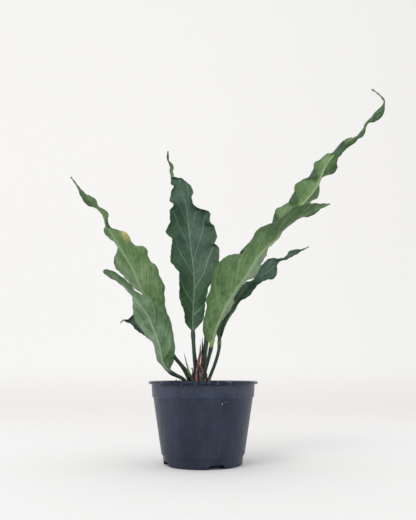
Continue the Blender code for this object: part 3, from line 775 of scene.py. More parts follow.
def blade_middle(leaf, line):
    """The points midway through the blade, how far across they are, and what share of it."""
    left_reach, left_across, left_share = half_section(leaf, -1, line.places, line.blade)
    right_reach, right_across, right_share = half_section(leaf, 1, line.places, line.blade)
    reach = both_halves(left_reach, right_reach)
    if "twist" in leaf:
        reach = reach * np.exp(1j * np.radians(reading(leaf["twist"], line.blade)))[:, None]
    middle = line.spine[:, None] + line.right[:, None] * reach.real[..., None]
    middle = middle + line.toward[:, None] * reach.imag[..., None]
    return middle, both_halves(-left_across, right_across), both_halves(left_share, right_share)


tall = LEAVES["leaf_tall_right"]
tall_line = midrib_line(tall)
tall_middle = blade_middle(tall, tall_line)[0]
print("points across the tallest leaf:", tall_middle.shape[1])

# %% Give the blade its two sides
BLADE_THICKNESS = 0.6
MARGIN_THICKNESS = 0.3
RIDGE_WIDTH = 1.15
RIDGE_AT_TIP = 0.05
UPPER_RIDGE = 0.4
UPPER_RIDGE_WIDTH = 0.7
BULGE_LENGTH = 12.0


def blade_sides(leaf, line, seed):
    """The blade's upper and under side as rings, and where their points lie on the leaf."""
    middle, across, share = blade_middle(leaf, line)
    lengthwise = np.gradient(middle, line.places, axis=0)
    upward = unit(np.cross(np.gradient(middle, axis=1), lengthwise)) * leaf["faces"]
    length = line.blade[-1]
    bulge = swelling(line.blade[:, None], across, share, leaf.get("fan", VEIN_FAN) / length, seed)
    bulge = bulge * np.clip(line.blade / BULGE_LENGTH, 0.0, 1.0)[:, None]
    left_to_tip = np.clip(1 - line.blade / length, RIDGE_AT_TIP, 1.0)[:, None]
    ridge = leaf["ridge"] * left_to_tip * np.exp(-(across / RIDGE_WIDTH) ** 2)
    crest = UPPER_RIDGE * left_to_tip * np.exp(-(across / UPPER_RIDGE_WIDTH) ** 2)
    thick = BLADE_THICKNESS + (MARGIN_THICKNESS - BLADE_THICKNESS) * share ** 2
    upper = middle + upward * (thick / 2 + crest + bulge)[..., None]
    under = middle - upward * (thick / 2 + ridge - bulge)[..., None]
    rings, half = across.shape
    marks = {
        "along": np.repeat(line.blade[:, None], 2 * half, axis=1),
        "across": np.concatenate([across, across[:, ::-1]], axis=1),
        "edge": np.concatenate([share, share[:, ::-1]], axis=1),
        "upper": np.repeat([[1.0] * half + [0.0] * half], rings, axis=0),
    }
    return np.concatenate([upper, under[:, ::-1]], axis=1), marks


print("the blade is", BLADE_THICKNESS, "mm thick and", MARGIN_THICKNESS, "mm at its margin")

# %% Draw it in to a round stalk
SWELLING = 0.5
SWELLING_BELOW = 6.0
SWELLING_LENGTH = 5.0
FLARE = 0.5
FLARE_LENGTH = 14.0
GROOVE = 0.14
GROOVE_ANGLE = 0.5
BLEND_FROM = -4.0
BLEND_LENGTH = 9.0


def stalk_rings(leaf, line, count):
    """A round stalk, with as many points around it as the blade has."""
    turns = math.pi - (np.arange(count) + 0.5) * 2 * math.pi / count
    groove = 1 - GROOVE * np.exp(-((turns - math.pi / 2) / GROOVE_ANGLE) ** 2)
    radius = leaf["stalk"] + FLARE * np.clip(1 - line.places / FLARE_LENGTH, 0.0, 1.0)
    radius += SWELLING * np.exp(-(((line.blade + SWELLING_BELOW) / SWELLING_LENGTH) ** 2))
    outward = line.right[:, None] * np.cos(turns)[:, None]
    upward = np.cross(line.right, line.along) * leaf["faces"]
    outward = outward + upward[:, None] * np.sin(turns)[:, None]
    return line.spine[:, None] + outward * (radius[:, None] * groove)[..., None]


def leaf_sections(leaf, seed):
    """Every point of the skin in millimetres, where it lies on the leaf, and its length."""
    line = midrib_line(leaf)
    blade, marks = blade_sides(leaf, line, seed)
    stalk = stalk_rings(leaf, line, blade.shape[1])
    share_of_blade = eased((line.blade - BLEND_FROM) / BLEND_LENGTH)[:, None, None]
    return stalk * (1 - share_of_blade) + blade * share_of_blade, marks, line.blade[-1]


tall_points = leaf_sections(tall, 0.0)[0]
print("points round the tallest leaf and along it:", tall_points.shape[1], tall_points.shape[0])


# %% Roll a grid into a skin
def leaf_skin(points, marks):
    """A closed skin over the points: a grid rolled up, with its two ends closed."""
    rings, around = points.shape[:2]
    bm = bmesh.new()
    layers = {name: bm.verts.layers.float.new(name) for name in marks}
    bmesh.ops.create_grid(bm, x_segments=around, y_segments=rings - 1, size=1.0)
    for vert in bm.verts:
        column = round((vert.co.x + 1) / 2 * around) % around
        ring = round((vert.co.y + 1) / 2 * (rings - 1))
        vert.co = points[ring, column] * MM
        for name, layer in layers.items():
            vert[layer] = marks[name][ring, column]
    bmesh.ops.remove_doubles(bm, verts=bm.verts[:], dist=1e-6)
    bmesh.ops.holes_fill(bm, edges=[edge for edge in bm.edges if edge.is_boundary], sides=0)
    return bm


print("its skin will have about", 2 * tall_points.shape[0] * tall_points.shape[1], "triangles")

# %% [markdown]
# ## The greens of a leaf
# Light and shade are also painted in: a paler band of painted sheen beside the midrib, and painted
# shade on one half, toward the tip and in patches at the outer margin.
# The upper side is dark and half glossy, the underside paler, brighter and duller. Both have
# the uneven green of a living leaf: broad patches, fine mottling and streaks that follow the
# veins. A leaf that has just opened is fresher green at its base and along its edge.
# The colours are mixed by node, from the numbers that each point stores, so nothing is an image.
# Places along and across are in millimetres, and "edge" runs from 0 at the midrib to 1.

# %% Mix the greens
STREAK_WIDTH = 4.2
STREAK_LENGTH = 22.0
WANDER = 3.0


def vein_through(along, across, fan):
    """The vein rule of the mesh, in nodes: where the vein through a point starts."""
    distance = abs(across)
    start = (along - distance * (distance * VEIN_BEND + VEIN_RISE)) / (distance * fan + 1.0)
    return start + worked("LESS_THAN", across, 0.0) * VEIN_OTHER_SIDE + VEIN_FIRST


def place_on_leaf(finish, where, length, fan):
    """Where a point lies on its leaf, and the patterns that several colours share."""
    at = SimpleNamespace(where=where, length=length)
    at.along = painted(finish, "along")
    at.across = painted(finish, "across")
    at.edge = painted(finish, "edge")
    at.upper = fade(painted(finish, "upper"), 0.3, 0.7)
    at.distance = abs(at.across)
    wander = fade(cloud(where, 60.0, 1.0), 0.3, 0.7, -WANDER, WANDER)
    at.vein = vein_through(at.along, at.across, fan / length) + wander
    at.broad = fade(cloud(where, 26.0, 3.0), 0.38, 0.62)
    at.mottle = fade(cloud(where, 6.0, 4.0, 0.65), 0.34, 0.66)
    in_streaks = {"X": at.vein / STREAK_WIDTH, "Y": at.across / STREAK_LENGTH}
    in_streaks = add_node(finish.node_tree, "CombineXYZ", 0, in_streaks)
    at.streaks = fade(cloud(in_streaks, 1000.0, 3.0, 0.6), 0.34, 0.66)
    return at


def blade_green(at, look):
    """The green of the blade without its veins, with its painted sheen and painted shade."""
    under = blend(at.broad, look["under_dark"], look["under_light"])
    upper = blend(at.broad, look["upper_dark"], look["upper_light"])
    at_base = fade(at.along, 30.0, 130.0, look["fresh_base"], 0.0)
    at_edge = fade(at.edge, 0.55, 0.95, 0.0, look["fresh_edge"])
    upper = blend(worked("MAXIMUM", at_base, at_edge), upper, look["fresh"])
    green = blend(at.upper, under, upper)
    green = blend(fade(at.distance, 1.0, 9.0, look["inner"], 0.0), green, look["midrib_colour"])
    # Painted sheen: a paler band on one half, strongest beside the midrib, a painted highlight that
    # fades toward the edge.
    pale = fade(at.across, -2.0, 2.0, look["left_painted_sheen"], look["right_painted_sheen"])
    green = blend(pale * fade(at.distance, 3.0, 9.0, 1.0, 0.4), green, look["pale"])
    uneven = (at.streaks * 0.5 + at.mottle * 0.5) * look["contrast"]
    green = blend(uneven, green, look["deep"], "MULTIPLY")
    # Painted shade: one half darker where it turns from the light, the tip where it curves away,
    # and the outer margin in patches where it rolls into shadow.
    half = fade(at.across, -2.0, 2.0, look["left_shade"], look["right_shade"])
    tip = at.length * look["tip_from"]
    tip = fade(at.along, tip, tip + 0.12 * at.length, 0.0, look["tip_shade"])
    outer = fade(at.edge, 0.6, 1.0, 0.0, look["edge_shade"]) * at.broad
    return blend(half + tip + outer, green, look["deep"], "MULTIPLY")


print("streaks are about", STREAK_WIDTH, "mm wide and", STREAK_LENGTH, "mm long")

# %% [markdown]
# ## Veins, midrib and stalk
# Side veins are strong and weak in turn and lie over a finer net, and the midrib runs on into
# the stalk. Lines at an even spacing come from a number that runs up and down, and the net
# from the borders between the cells of a cell noise. The lines also raise the surface a little.

# %% Build the leaf finish
VEIN_WIDTH = 2.4
WEAK_VEIN = 0.16
WEAKEST_VEIN = 0.06
NET_SIZE = 2.0
NET_SHARE = 0.15
MIDRIB_WIDTH = 1.0


def lines_at(vein, shift, spacing, width=VEIN_WIDTH):
    """Thin lines, one for each spacing."""
    return fade(worked("PINGPONG", vein + shift, spacing / 2), 0.0, width, 1.0, 0.0)


def vein_lines(at):
    """Side veins, strong and weak in turn, that fade out toward the edge."""
    strong = lines_at(at.vein, 0.0, VEIN_SPACING)
    weak = lines_at(at.vein, VEIN_SPACING / 2, VEIN_SPACING)
    weakest = lines_at(at.vein, VEIN_SPACING / 4, VEIN_SPACING / 2, VEIN_WIDTH * 0.7)
    lines = strong + weak * WEAK_VEIN + weakest * WEAKEST_VEIN
    return lines * fade(at.edge, 0.5, 1.0, 1.0, 0.15) * fade(at.along, 6.0, 16.0)


def net_lines(where):
    """The fine net between the veins."""
    cells = {"Vector": where, "Scale": 1000.0 / NET_SIZE}
    border = add_node(where.tree, "TexVoronoi", "Distance", cells, feature="DISTANCE_TO_EDGE")
    return fade(border, 0.0, 0.1, 1.0, 0.0)


def leaf_finish(name, look, length, fan):
    """The finish of one leaf, from the colours in its look."""
    made, where = new_finish(name)
    at = place_on_leaf(made, where, length, fan)
    green = blade_green(at, look)

    veins, net = vein_lines(at), net_lines(where)
    vein_colour = blend(at.upper, look["under_vein_colour"], look["upper_vein_colour"])
    strength = fade(at.upper, 0.0, 1.0, look["under_vein"], look["upper_vein"])
    green = blend(veins * strength, green, vein_colour)
    green = blend(net * NET_SHARE, green, vein_colour)
    midrib = fade(at.distance, MIDRIB_WIDTH * 0.35, MIDRIB_WIDTH, 1.0, 0.0)
    midrib = midrib * fade(at.along, length * 0.6, length * 0.8, look["midrib"], 0.15)
    green = blend(midrib, green, look["midrib_colour"])
    green = blend(fade(at.edge, 0.9, 1.0) * look["margin"], green, look["margin_colour"])
    if "patch_at" in look:
        patch = fade(abs(at.along - look["patch_at"]), 2.0, 13.0, 1.0, 0.0)
        patch = patch * fade(at.across, 7.0, 18.0) * fade(at.mottle, 0.0, 1.0, 0.95, 0.5)
        green = blend(patch, green, look["patch_colour"])

    # The stalk is streaked lengthways, and yellower at the joint under the blade
    streak = fade(cloud(where, 3.0, 3.0, 0.6, (1.0, 1.0, 0.12)), 0.35, 0.65)
    stalk = blend(streak, look["stalk_dark"], look["stalk_light"])
    colour = blend(fade(at.along, -5.0, 4.0), stalk, green)
    joint = fade(abs(at.along - look["joint_at"]), 2.0, 4.4, look["joint"], 0.0)
    colour = blend(joint, colour, look["joint_colour"])

    rough = fade(at.upper, 0.0, 1.0, 0.50, 0.38) + fade(at.mottle, 0.0, 1.0, -0.05, 0.06)
    relief = veins * 0.6 + net * 0.2 + at.streaks * 0.8 + cloud(where, 1.1, 2.0) * 0.3
    complete(made, colour, rough, shine=0.45, relief=relief, depth_mm=0.4)
    return made


print("the net has cells of about", NET_SIZE, "mm")

# %% [markdown]
# ## Seven leaves
# The leaves turned their undersides to the camera are fresh green, and those that show the upper
# side are almost blue. Each gets its own small differences of colour, as on the real plant, and
# its own painted light: greens lightened or darkened for how it is lit, painted shade and sheen.
# Sizes are in millimetres along the blade, "tip_from" is a share of its length, and the other
# plain numbers are strengths from 0 to 1.

# %% Finish the seven leaves
# Strengths named for shade are painted shade, and the strengths of the pale band beside the midrib
# are a painted sheen.
COMMON_LOOK = {
    "under_dark": (92, 128, 68), "under_light": (118, 150, 96),
    "upper_dark": (50, 78, 65), "upper_light": (70, 100, 84),
    "deep": (122, 158, 106), "contrast": 0.8, "left_shade": 0.0, "right_shade": 0.0,
    "pale": (168, 190, 160), "left_painted_sheen": 0.0, "right_painted_sheen": 0.0, "inner": 0.2,
    "edge_shade": 0.55, "tip_from": 0.6, "tip_shade": 0.3,
    "under_vein": 0.4, "under_vein_colour": (150, 174, 130),
    "upper_vein": 0.85, "upper_vein_colour": (116, 148, 120),
    "midrib": 0.75, "midrib_colour": (150, 176, 128),
    "margin": 0.5, "margin_colour": (74, 108, 58),
    "fresh_base": 0.0, "fresh_edge": 0.0, "fresh": (66, 106, 58),
    "stalk_dark": (34, 58, 50), "stalk_light": (58, 86, 70),
    "joint": 0.0, "joint_at": 0.0, "joint_colour": (142, 168, 84),
}
LOOKS = {
    "leaf_tall_left": {
        "under_dark": (109, 144, 83), "under_light": (141, 170, 120), "inner": 0.35,
        "patch_at": 136.0, "patch_colour": (216, 202, 122),
        "left_shade": 0.4, "tip_from": 0.68, "tip_shade": 0.58,
    },
    "leaf_front_left": {
        "under_dark": (93, 126, 80), "under_light": (135, 164, 133), "inner": 0.12,
        "midrib_colour": (148, 174, 140), "left_painted_sheen": 0.05,
        "right_shade": 0.1, "tip_shade": 0.5,
    },
    # A greyer, bluer upper side: partly its own colour, partly a painted bluish sheen.
    "leaf_back_left": {"upper_dark": (64, 84, 86), "upper_light": (94, 114, 116)},
    "leaf_centre": {
        "under_light": (104, 138, 76), "inner": 0.1, "tip_from": 0.83,
        "upper_dark": (54, 85, 68), "upper_light": (76, 108, 89),
        "midrib": 0.95, "midrib_colour": (128, 156, 126),
        "fresh_base": 0.55, "fresh_edge": 0.5,
    },
    "leaf_right_front": {
        "under_dark": (80, 116, 60), "under_light": (106, 138, 86), "under_vein": 0.3,
        "right_painted_sheen": 0.6, "joint": 0.75, "joint_at": -0.6, "tip_shade": 0.75,
    },
    "leaf_tall_right": {
        "under_dark": (96, 132, 70), "under_light": (122, 155, 97), "inner": 0.4,
        "upper_dark": (64, 96, 72), "upper_light": (92, 124, 92),
        "midrib": 1.0, "midrib_colour": (162, 188, 138),
        "right_shade": 0.75, "edge_shade": 0.5, "tip_from": 0.68,
    },
    # Its upper-side greens are lightened as painted light, against the shadow of the leaves in
    # front of it.
    "leaf_right_back": {
        "upper_dark": (66, 96, 88), "upper_light": (94, 122, 112),
        "joint": 0.45, "joint_at": -6.0,
    },
}

for seed, (name, leaf) in enumerate(LEAVES.items()):
    points, marks, length = leaf_sections(leaf, 1.7 * seed)
    look = {**COMMON_LOOK, **LOOKS[name]}
    finish = leaf_finish(name.replace("leaf", "green"), look, length, leaf.get("fan", VEIN_FAN))
    finish_piece(name + "_finished", leaf_skin(points, marks), finish, name)

# %% [markdown]
# ## The young shoot
# The next leaf is still rolled up into a spike. A rolled leaf ends in one free edge that winds
# round it, so the radius steps down once round the spike, and the step climbs in a long spiral.
# The rows below hold a place and a radius, from the foot to the tip.

# %% Roll up the young shoot
SHOOT = [
    (-9, -10.5, 81, 2.0), (-10.5, -12, 89, 2.0), (-13.5, -12.5, 97, 1.8),
    (-16.5, -12.5, 105, 1.4), (-19.8, -12.5, 116, 0.85), (-23, -13, 128, 0.3),
]
SHOOT_RINGS = 90
SHOOT_SIDES = 36
SHOOT_STEP = 0.16
SHOOT_WINDS = 1.1

knots = np.arange(len(SHOOT), dtype=float)
rows = smooth(knots, SHOOT, np.linspace(0, len(SHOOT) - 1, SHOOT_RINGS))
centre, radius = rows[:, :3], rows[:, 3]
heading = unit(np.gradient(centre, axis=0))
right = unit(np.cross((0.0, 1.0, 0.0), heading))
toward = np.cross(right, heading)
turns = np.arange(SHOOT_SIDES) * 2 * math.pi / SHOOT_SIDES
risen = np.linspace(0, 1, SHOOT_RINGS)[:, None]
wound = (turns / (2 * math.pi) + SHOOT_WINDS * risen) % 1.0
rolled = radius[:, None] * (1 - SHOOT_STEP * wound)
outward = right[:, None] * np.cos(turns)[:, None] + toward[:, None] * np.sin(turns)[:, None]
points = centre[:, None] + outward * rolled[..., None]
marks = {"along": np.repeat(risen, SHOOT_SIDES, axis=1), "wound": wound}

shoot_finish, where = new_finish("fresh_green")
streak = fade(cloud(where, 2.2, 3.0, 0.6, (1.0, 1.0, 0.1)), 0.35, 0.65)
green = blend(streak, (96, 132, 62), (140, 168, 88))
along = painted(shoot_finish, "along")
green = blend(fade(along, 0.66, 0.85), green, (50, 76, 52))
green = blend(fade(along, 0.5, 0.64, 1.0, 0.0), green, (44, 62, 42))
free_edge = fade(painted(shoot_finish, "wound"), 0.0, 0.06, 0.6, 0.0)
green = blend(free_edge, green, (170, 190, 120))
complete(shoot_finish, green, 0.42, relief=streak, depth_mm=0.15)
finish_piece("young_shoot_finished", leaf_skin(points, marks), shoot_finish, "young_shoot")

# %% [markdown]
# ## The pot
# A nursery pot is one thin moulding: a rolled lip that stands out over a band, a tapered wall,
# and a foot with four pressed pockets for drainage. It is a turned shape, so its profile is
# drawn once as pairs of a radius and a height, its corners are rounded, and it is spun.

# %% Draw the profile of the pot
POT_OUTER = [
    (45.6, 0.0), (46.6, 1.0), (47.7, 10.3), (49.4, 11.6), (60.1, 76.4), (61.5, 77.9),
    (62.5, 91.6), (65.5, 92.3), (66.4, 93.2), (66.2, 95.2), (65.0, 96.0),
]
POT_INNER = [
    (62.9, 95.7), (61.5, 94.2), (60.1, 78.2), (58.7, 76.6), (48.0, 12.0), (46.3, 10.6),
    (45.3, 2.9), (43.9, 1.8),
]
CORNER_RADIUS = 0.45
CORNER_REACH = 0.45
CORNER_STEPS = 3


def rounded(profile):
    """The profile with each corner turned into a short arc."""
    made = [profile[0]]
    for before, corner, after in zip(profile, profile[1:], profile[2:]):
        before, corner, after = Vector(before), Vector(corner), Vector(after)
        back, ahead = before - corner, after - corner
        reach = min(CORNER_RADIUS, back.length * CORNER_REACH, ahead.length * CORNER_REACH)
        first = corner + back.normalized() * reach
        last = corner + ahead.normalized() * reach
        for step in range(CORNER_STEPS + 1):
            part = step / CORNER_STEPS
            arc = first * (1 - part) ** 2 + corner * 2 * part * (1 - part) + last * part ** 2
            made.append(tuple(arc))
    return made + [profile[-1]]


def spun(profile, segments):
    """A closed turned shape from a profile of (radius, height)."""
    bm = bmesh.new()
    chain = [bm.verts.new((radius * MM, 0.0, height * MM)) for radius, height in profile]
    for lower, upper in zip(chain, chain[1:]):
        bm.edges.new((lower, upper))
    bmesh.ops.spin(
        bm, geom=bm.verts[:] + bm.edges[:], cent=(0, 0, 0), axis=(0, 0, 1),
        angle=2 * math.pi, steps=segments, use_merge=True,
    )
    bmesh.ops.remove_doubles(bm, verts=bm.verts[:], dist=1e-6)
    bmesh.ops.recalc_face_normals(bm, faces=bm.faces[:])
    return bm


widest = max(radius for radius, height in POT_OUTER)
print("the pot is", 2 * widest, "mm across its lip and", POT_OUTER[-1][1], "mm high")

# %% [markdown]
# ## Pockets and holes
# Each pocket is pressed up into the edge of the base and has a drain hole in its roof. The wall
# keeps its thickness round it. So the hollow of the pot first gives way to four blocks that are
# one wall bigger than the pockets, and only then are the pockets and holes cut from outside.
# Booleans do this exactly, where pulling the wall about would leave creases.

# %% Shape the cutters
POCKET_ANGLES = [-70.5, 19.5, 109.5, 199.5]
POCKET_HEIGHT = 4.9
POCKET_HALF_WIDTH = 13.0
POCKET_SLOPE = 4.6
POCKET_INNER_RADIUS = 35.0
POCKET_ROUNDING = 2.2
PAST_THE_WALL = 60.0
BELOW_THE_BASE = -1.0
DRAIN_RADIUS = 3.0
DRAIN_DEPTH = 6.0
DRAIN_AT_RADIUS = 40.5


def pocket_cutter(angle, grown=0.0):
    """The space of a pocket: a block with sloped ends and rounded upper edges."""
    bm = bmesh.new()
    bmesh.ops.create_cube(bm, size=1.0)
    for vert in bm.verts:
        high = vert.co.z > 0
        half = POCKET_HALF_WIDTH + grown - (POCKET_SLOPE if high else 0.0)
        vert.co.x = (POCKET_INNER_RADIUS - grown if vert.co.x < 0 else PAST_THE_WALL) * MM
        vert.co.y = math.copysign(half, vert.co.y) * MM
        vert.co.z = (POCKET_HEIGHT + grown if high else BELOW_THE_BASE) * MM
    top = [edge for edge in bm.edges if all(vert.co.z > 0 for vert in edge.verts)]
    bmesh.ops.bevel(
        bm, geom=top, offset=POCKET_ROUNDING * MM, affect="EDGES", segments=3, profile=0.5,
        material=-1,
    )
    turn = Matrix.Rotation(math.radians(angle), 3, "Z")
    bmesh.ops.rotate(bm, verts=bm.verts[:], cent=(0, 0, 0), matrix=turn)
    return put_mesh_in_scene("pocket", bm)


def drain_cutter(angle):
    """The space of a drain hole, through the roof of a pocket."""
    bm = bmesh.new()
    bmesh.ops.create_cone(
        bm, cap_ends=True, segments=24, radius1=DRAIN_RADIUS * MM, radius2=DRAIN_RADIUS * MM,
        depth=DRAIN_DEPTH * MM,
    )
    turn = math.radians(angle)
    across = Vector((math.cos(turn), math.sin(turn), 0.0)) * DRAIN_AT_RADIUS
    place = across + Vector((0.0, 0.0, POCKET_HEIGHT + 1))
    bmesh.ops.translate(bm, verts=bm.verts[:], vec=place * MM)
    return put_mesh_in_scene("drain", bm)


print("pockets:", len(POCKET_ANGLES), "of", 2 * POCKET_HALF_WIDTH, "mm by", POCKET_HEIGHT, "mm")


# %% Cut the pot
def cut(target, tools):
    """Take a group of cutters away from the target, then drop them."""
    group = bpy.data.collections.new("cutters")
    for tool in tools:
        group.objects.link(tool)
    step = target.modifiers.new("cut", "BOOLEAN")
    step.operation = "DIFFERENCE"
    step.solver = "EXACT"
    step.operand_type = "COLLECTION"
    step.collection = group
    seen = target.evaluated_get(bpy.context.evaluated_depsgraph_get())
    result = bpy.data.meshes.new_from_object(seen)
    target.modifiers.clear()
    target.data = result
    for tool in tools:
        bpy.data.objects.remove(tool, do_unlink=True)
    bpy.data.collections.remove(group)


WALL = 1.4
POT_SEGMENTS = 144
ABOVE_THE_RIM = 110.0
mouth, mouth_height = POT_INNER[0]
floor_height = POT_INNER[-1][1]
outer = [(0.0, 0.0)] + POT_OUTER + [(mouth, mouth_height), (0.0, mouth_height)]
inner = [(0.0, ABOVE_THE_RIM), (mouth, ABOVE_THE_RIM)] + POT_INNER + [(0.0, floor_height)]
outside = put_mesh_in_scene("outside", spun(rounded(outer), POT_SEGMENTS))
hollow = put_mesh_in_scene("hollow", spun(rounded(inner), POT_SEGMENTS))
cut(hollow, [pocket_cutter(angle, WALL) for angle in POCKET_ANGLES])
cut(outside, [hollow])
cut(outside, [pocket_cutter(angle) for angle in POCKET_ANGLES])
cut(outside, [drain_cutter(angle) for angle in POCKET_ANGLES])
pot_bm = bmesh.new()
pot_bm.from_mesh(outside.data)
bpy.data.objects.remove(outside, do_unlink=True)
print("faces of the pot:", len(pot_bm.faces))

# %% [markdown]
# ## Moulded plastic
# The pot is a dark blue-grey plastic with a soft sheen at its sides. The mould leaves faint
# upright streaks, and handling leaves small scuffs and light specks. The lip is painted darker,
# as painted shade, and is smoother than the wall, with pale spots of painted highlight. Which band
# a point lies in is read from its height, and the streaks are noise that is stretched upright.

# %% Build the plastic finish
BAND_FROM = 0.0775
BAND_TO = 0.0905
LIP_FROM = 0.0912
SOFT_STEP = 0.001

pot_finish, where = new_finish("blue_grey_plastic")
height = height_of(where)
streak = fade(cloud(where, 2.6, 3.0, 0.6, (1.0, 1.0, 0.03)), 0.5, 0.72)
patch = fade(cloud(where, 26.0, 4.0, 0.6, (1.0, 1.0, 0.5)), 0.35, 0.65)
fine = fade(cloud(where, 2.6, 4.0, 0.7, (0.5, 0.5, 1.6)), 0.35, 0.65)
band = fade(height, BAND_FROM, BAND_FROM + SOFT_STEP)
band = band * fade(height, BAND_TO, BAND_TO + SOFT_STEP, 1.0, 0.0)
lip = fade(height, LIP_FROM, LIP_FROM + SOFT_STEP)
# Spots on the lip where painted highlights go.
lip_painted_highlights = lip * fade(cloud(where, 5.5, 2.0), 0.56, 0.68)
speck = fade(cloud(where, 1.6, 3.0, 0.6), 0.7, 0.76)

grey = blend(patch, (35, 39, 53), (46, 51, 68))
grey = blend(streak * (patch * 0.3 + 0.1), grey, (62, 71, 90))
grey = blend(band * (fine * 0.3 + patch * 0.14), grey, (78, 89, 108))
grey = blend(fine * 0.1, grey, (70, 78, 96))
# The lip is painted darker: painted shade.
grey = blend(lip * 0.8, grey, (22, 25, 40))
# Pale spots on the lip are painted highlights.
grey = blend(lip_painted_highlights * 0.45, grey, (118, 128, 150))
grey = blend(speck * 0.3, grey, (150, 156, 168))
smoother = fade(cloud(where, 9.0, 3.0), 0.4, 0.6, -0.26, -0.04)
rough = lip * smoother + fade(fine, 0.0, 1.0, 0.32, 0.44)
bluish = (0.75, 0.87, 1.0, 1.0)
complete(pot_finish, grey, rough, shine=0.3, tint=bluish, relief=streak, depth_mm=0.1, strength=0.5)
finish_piece("pot_finished", pot_bm, pot_finish, "pot", recalc=False, sharp=38.0)

# %% [markdown]
# ## Potting mix
# Mix for aroids is loose: crumbs of coir, flakes of bark and white grains of perlite. A turned
# solid fills the pot, and its top is raised and lowered by noise, less so close to the wall.

# %% Fill the pot with potting mix
SOIL_LEVEL = 84.0
SOIL_LUMP = 1.3
SOIL_RADIUS = 60.3
SOIL_CALM = 2.0
SOIL_RINGS = 46
SOIL_SEGMENTS = 120
CRUMB = 1.1


def soil_height(x, y):
    """The top of the mix: broad lumps, as in the solid, and crumbs on them."""
    lumps = math.sin(x * 0.31 + 1.0) * math.cos(y * 0.27 - 0.4)
    lumps += 0.6 * math.sin(x * 0.17 - y * 0.23 + 2.0)
    crumbs = noise.noise(Vector((x, y, 0.0)) / 2.6) + 0.6 * noise.noise(Vector((x, y, 9.0)) / 1.3)
    return SOIL_LEVEL + SOIL_LUMP * lumps + CRUMB * crumbs


top = [(radius, SOIL_LEVEL) for radius in np.linspace(0.0, 59.9, SOIL_RINGS)]
soil_side = [
    (60.2, 83.0), (59.8, 78.2), (58.4, 76.6), (47.7, 12.0), (46.0, 10.6), (43.2, 7.5), (0.0, 7.5),
]
soil = spun(top + soil_side, SOIL_SEGMENTS)
for vert in soil.verts:
    if vert.co.z > (SOIL_LEVEL - 0.5) * MM:
        rim = min(1.0, (SOIL_RADIUS - vert.co.xy.length / MM) / SOIL_CALM)
        level = soil_height(vert.co.x / MM, vert.co.y / MM)
        vert.co.z = (SOIL_LEVEL + (level - SOIL_LEVEL) * rim) * MM

soil_finish, where = new_finish("coir_mix")
crumb = fade(cloud(where, 3.0, 5.0, 0.65), 0.35, 0.65)
bright = fade(cloud(where, 1.4, 3.0, 0.6), 0.62, 0.7)
brown = blend(bright * 0.5, blend(crumb, (48, 34, 26), (104, 78, 56)), (150, 122, 92))
complete(soil_finish, brown, 0.95, relief=crumb, depth_mm=0.8)
finish_piece("soil_finished", soil, soil_finish, "soil")

# %% [markdown]
# ## Bark flakes
# Bark comes as flat torn flakes that lie as they fell. Each one is a cube with a few more points,
# drawn out to its own size and jagged, then turned a little and set on the mix. All chance here
# comes from one seed, so the flakes lie the same way each time.

# %% Strew bark on the mix
CROWN_X = -6.0
CROWN_Y = 0.0
CROWN_RADIUS = 15.0
STREW_SQUARE = 57.0
STREW_RADIUS = 57.5
LEAN = 0.3
BARK_PIECES = 330
BARK_JAG = 0.09
BARK_SIZES = [(3.0, 9.0), (2.0, 5.0), (1.0, 2.4)]
draw = np.random.default_rng(7)


def free_spot(reach):
    """A place on the mix, clear of the stem and of the wall."""
    while True:
        x, y = draw.uniform(-STREW_SQUARE, STREW_SQUARE, 2)
        if math.hypot(x, y) + reach > STREW_RADIUS:
            continue
        if math.hypot(x - CROWN_X, y - CROWN_Y) > CROWN_RADIUS + reach * 0.6:
            return x, y


def strewn(bm, verts, x, y, sunk):
    """Turn some points at random and set them on the mix."""
    spin = Matrix.Rotation(draw.uniform(0, 2 * math.pi), 3, "Z")
    pitch = Matrix.Rotation(draw.normal(0, LEAN), 3, "X")
    roll = Matrix.Rotation(draw.normal(0, LEAN), 3, "Y")
    bmesh.ops.rotate(bm, verts=verts, cent=(0, 0, 0), matrix=pitch @ roll @ spin)
    bmesh.ops.translate(bm, verts=verts, vec=Vector((x, y, soil_height(x, y) + sunk)) * MM)


bark = bmesh.new()
for _ in range(BARK_PIECES):
    length, width, depth = (draw.uniform(*limits) for limits in BARK_SIZES)
    x, y = free_spot(length / 2)
    before = len(bark.verts)
    block = bmesh.ops.create_cube(bark, size=1.0)["verts"]
    edges = list({edge for vert in block for edge in vert.link_edges})
    bmesh.ops.subdivide_edges(bark, edges=edges, cuts=1, use_grid_fill=True)
    bark.verts.ensure_lookup_table()
    flake = bark.verts[before:]
    for vert in flake:
        jag = Vector(draw.normal(0, BARK_JAG, 3))
        vert.co.y *= 1 - 0.5 * (abs(vert.co.x) * 2) ** 2
        vert.co = (vert.co + jag) * Vector((length, width, depth)) * MM
    strewn(bark, flake, x, y, depth * 0.15)

bark_finish, where = new_finish("bark_flakes")
grain = fade(cloud(where, 2.0, 4.0, 0.6, (1.0, 1.0, 0.4)), 0.35, 0.65)
tone = fade(cloud(where, 14.0, 2.0), 0.4, 0.6)
brown = blend(grain * 0.5, blend(tone, (92, 60, 42), (138, 98, 68)), (64, 42, 32))
complete(bark_finish, brown, 0.85, relief=grain, depth_mm=0.4)
finish_piece("bark_flakes", bark, bark_finish, sharp=30.0)

# %% [markdown]
# ## White grains
# Perlite is glass puffed up by heat: light, white and full of pits. The grains are spheres made
# lumpy by noise, small ones more often than large ones. Most lie on the mix, and a few are
# caught on the lip, on the wall and on a sheath.

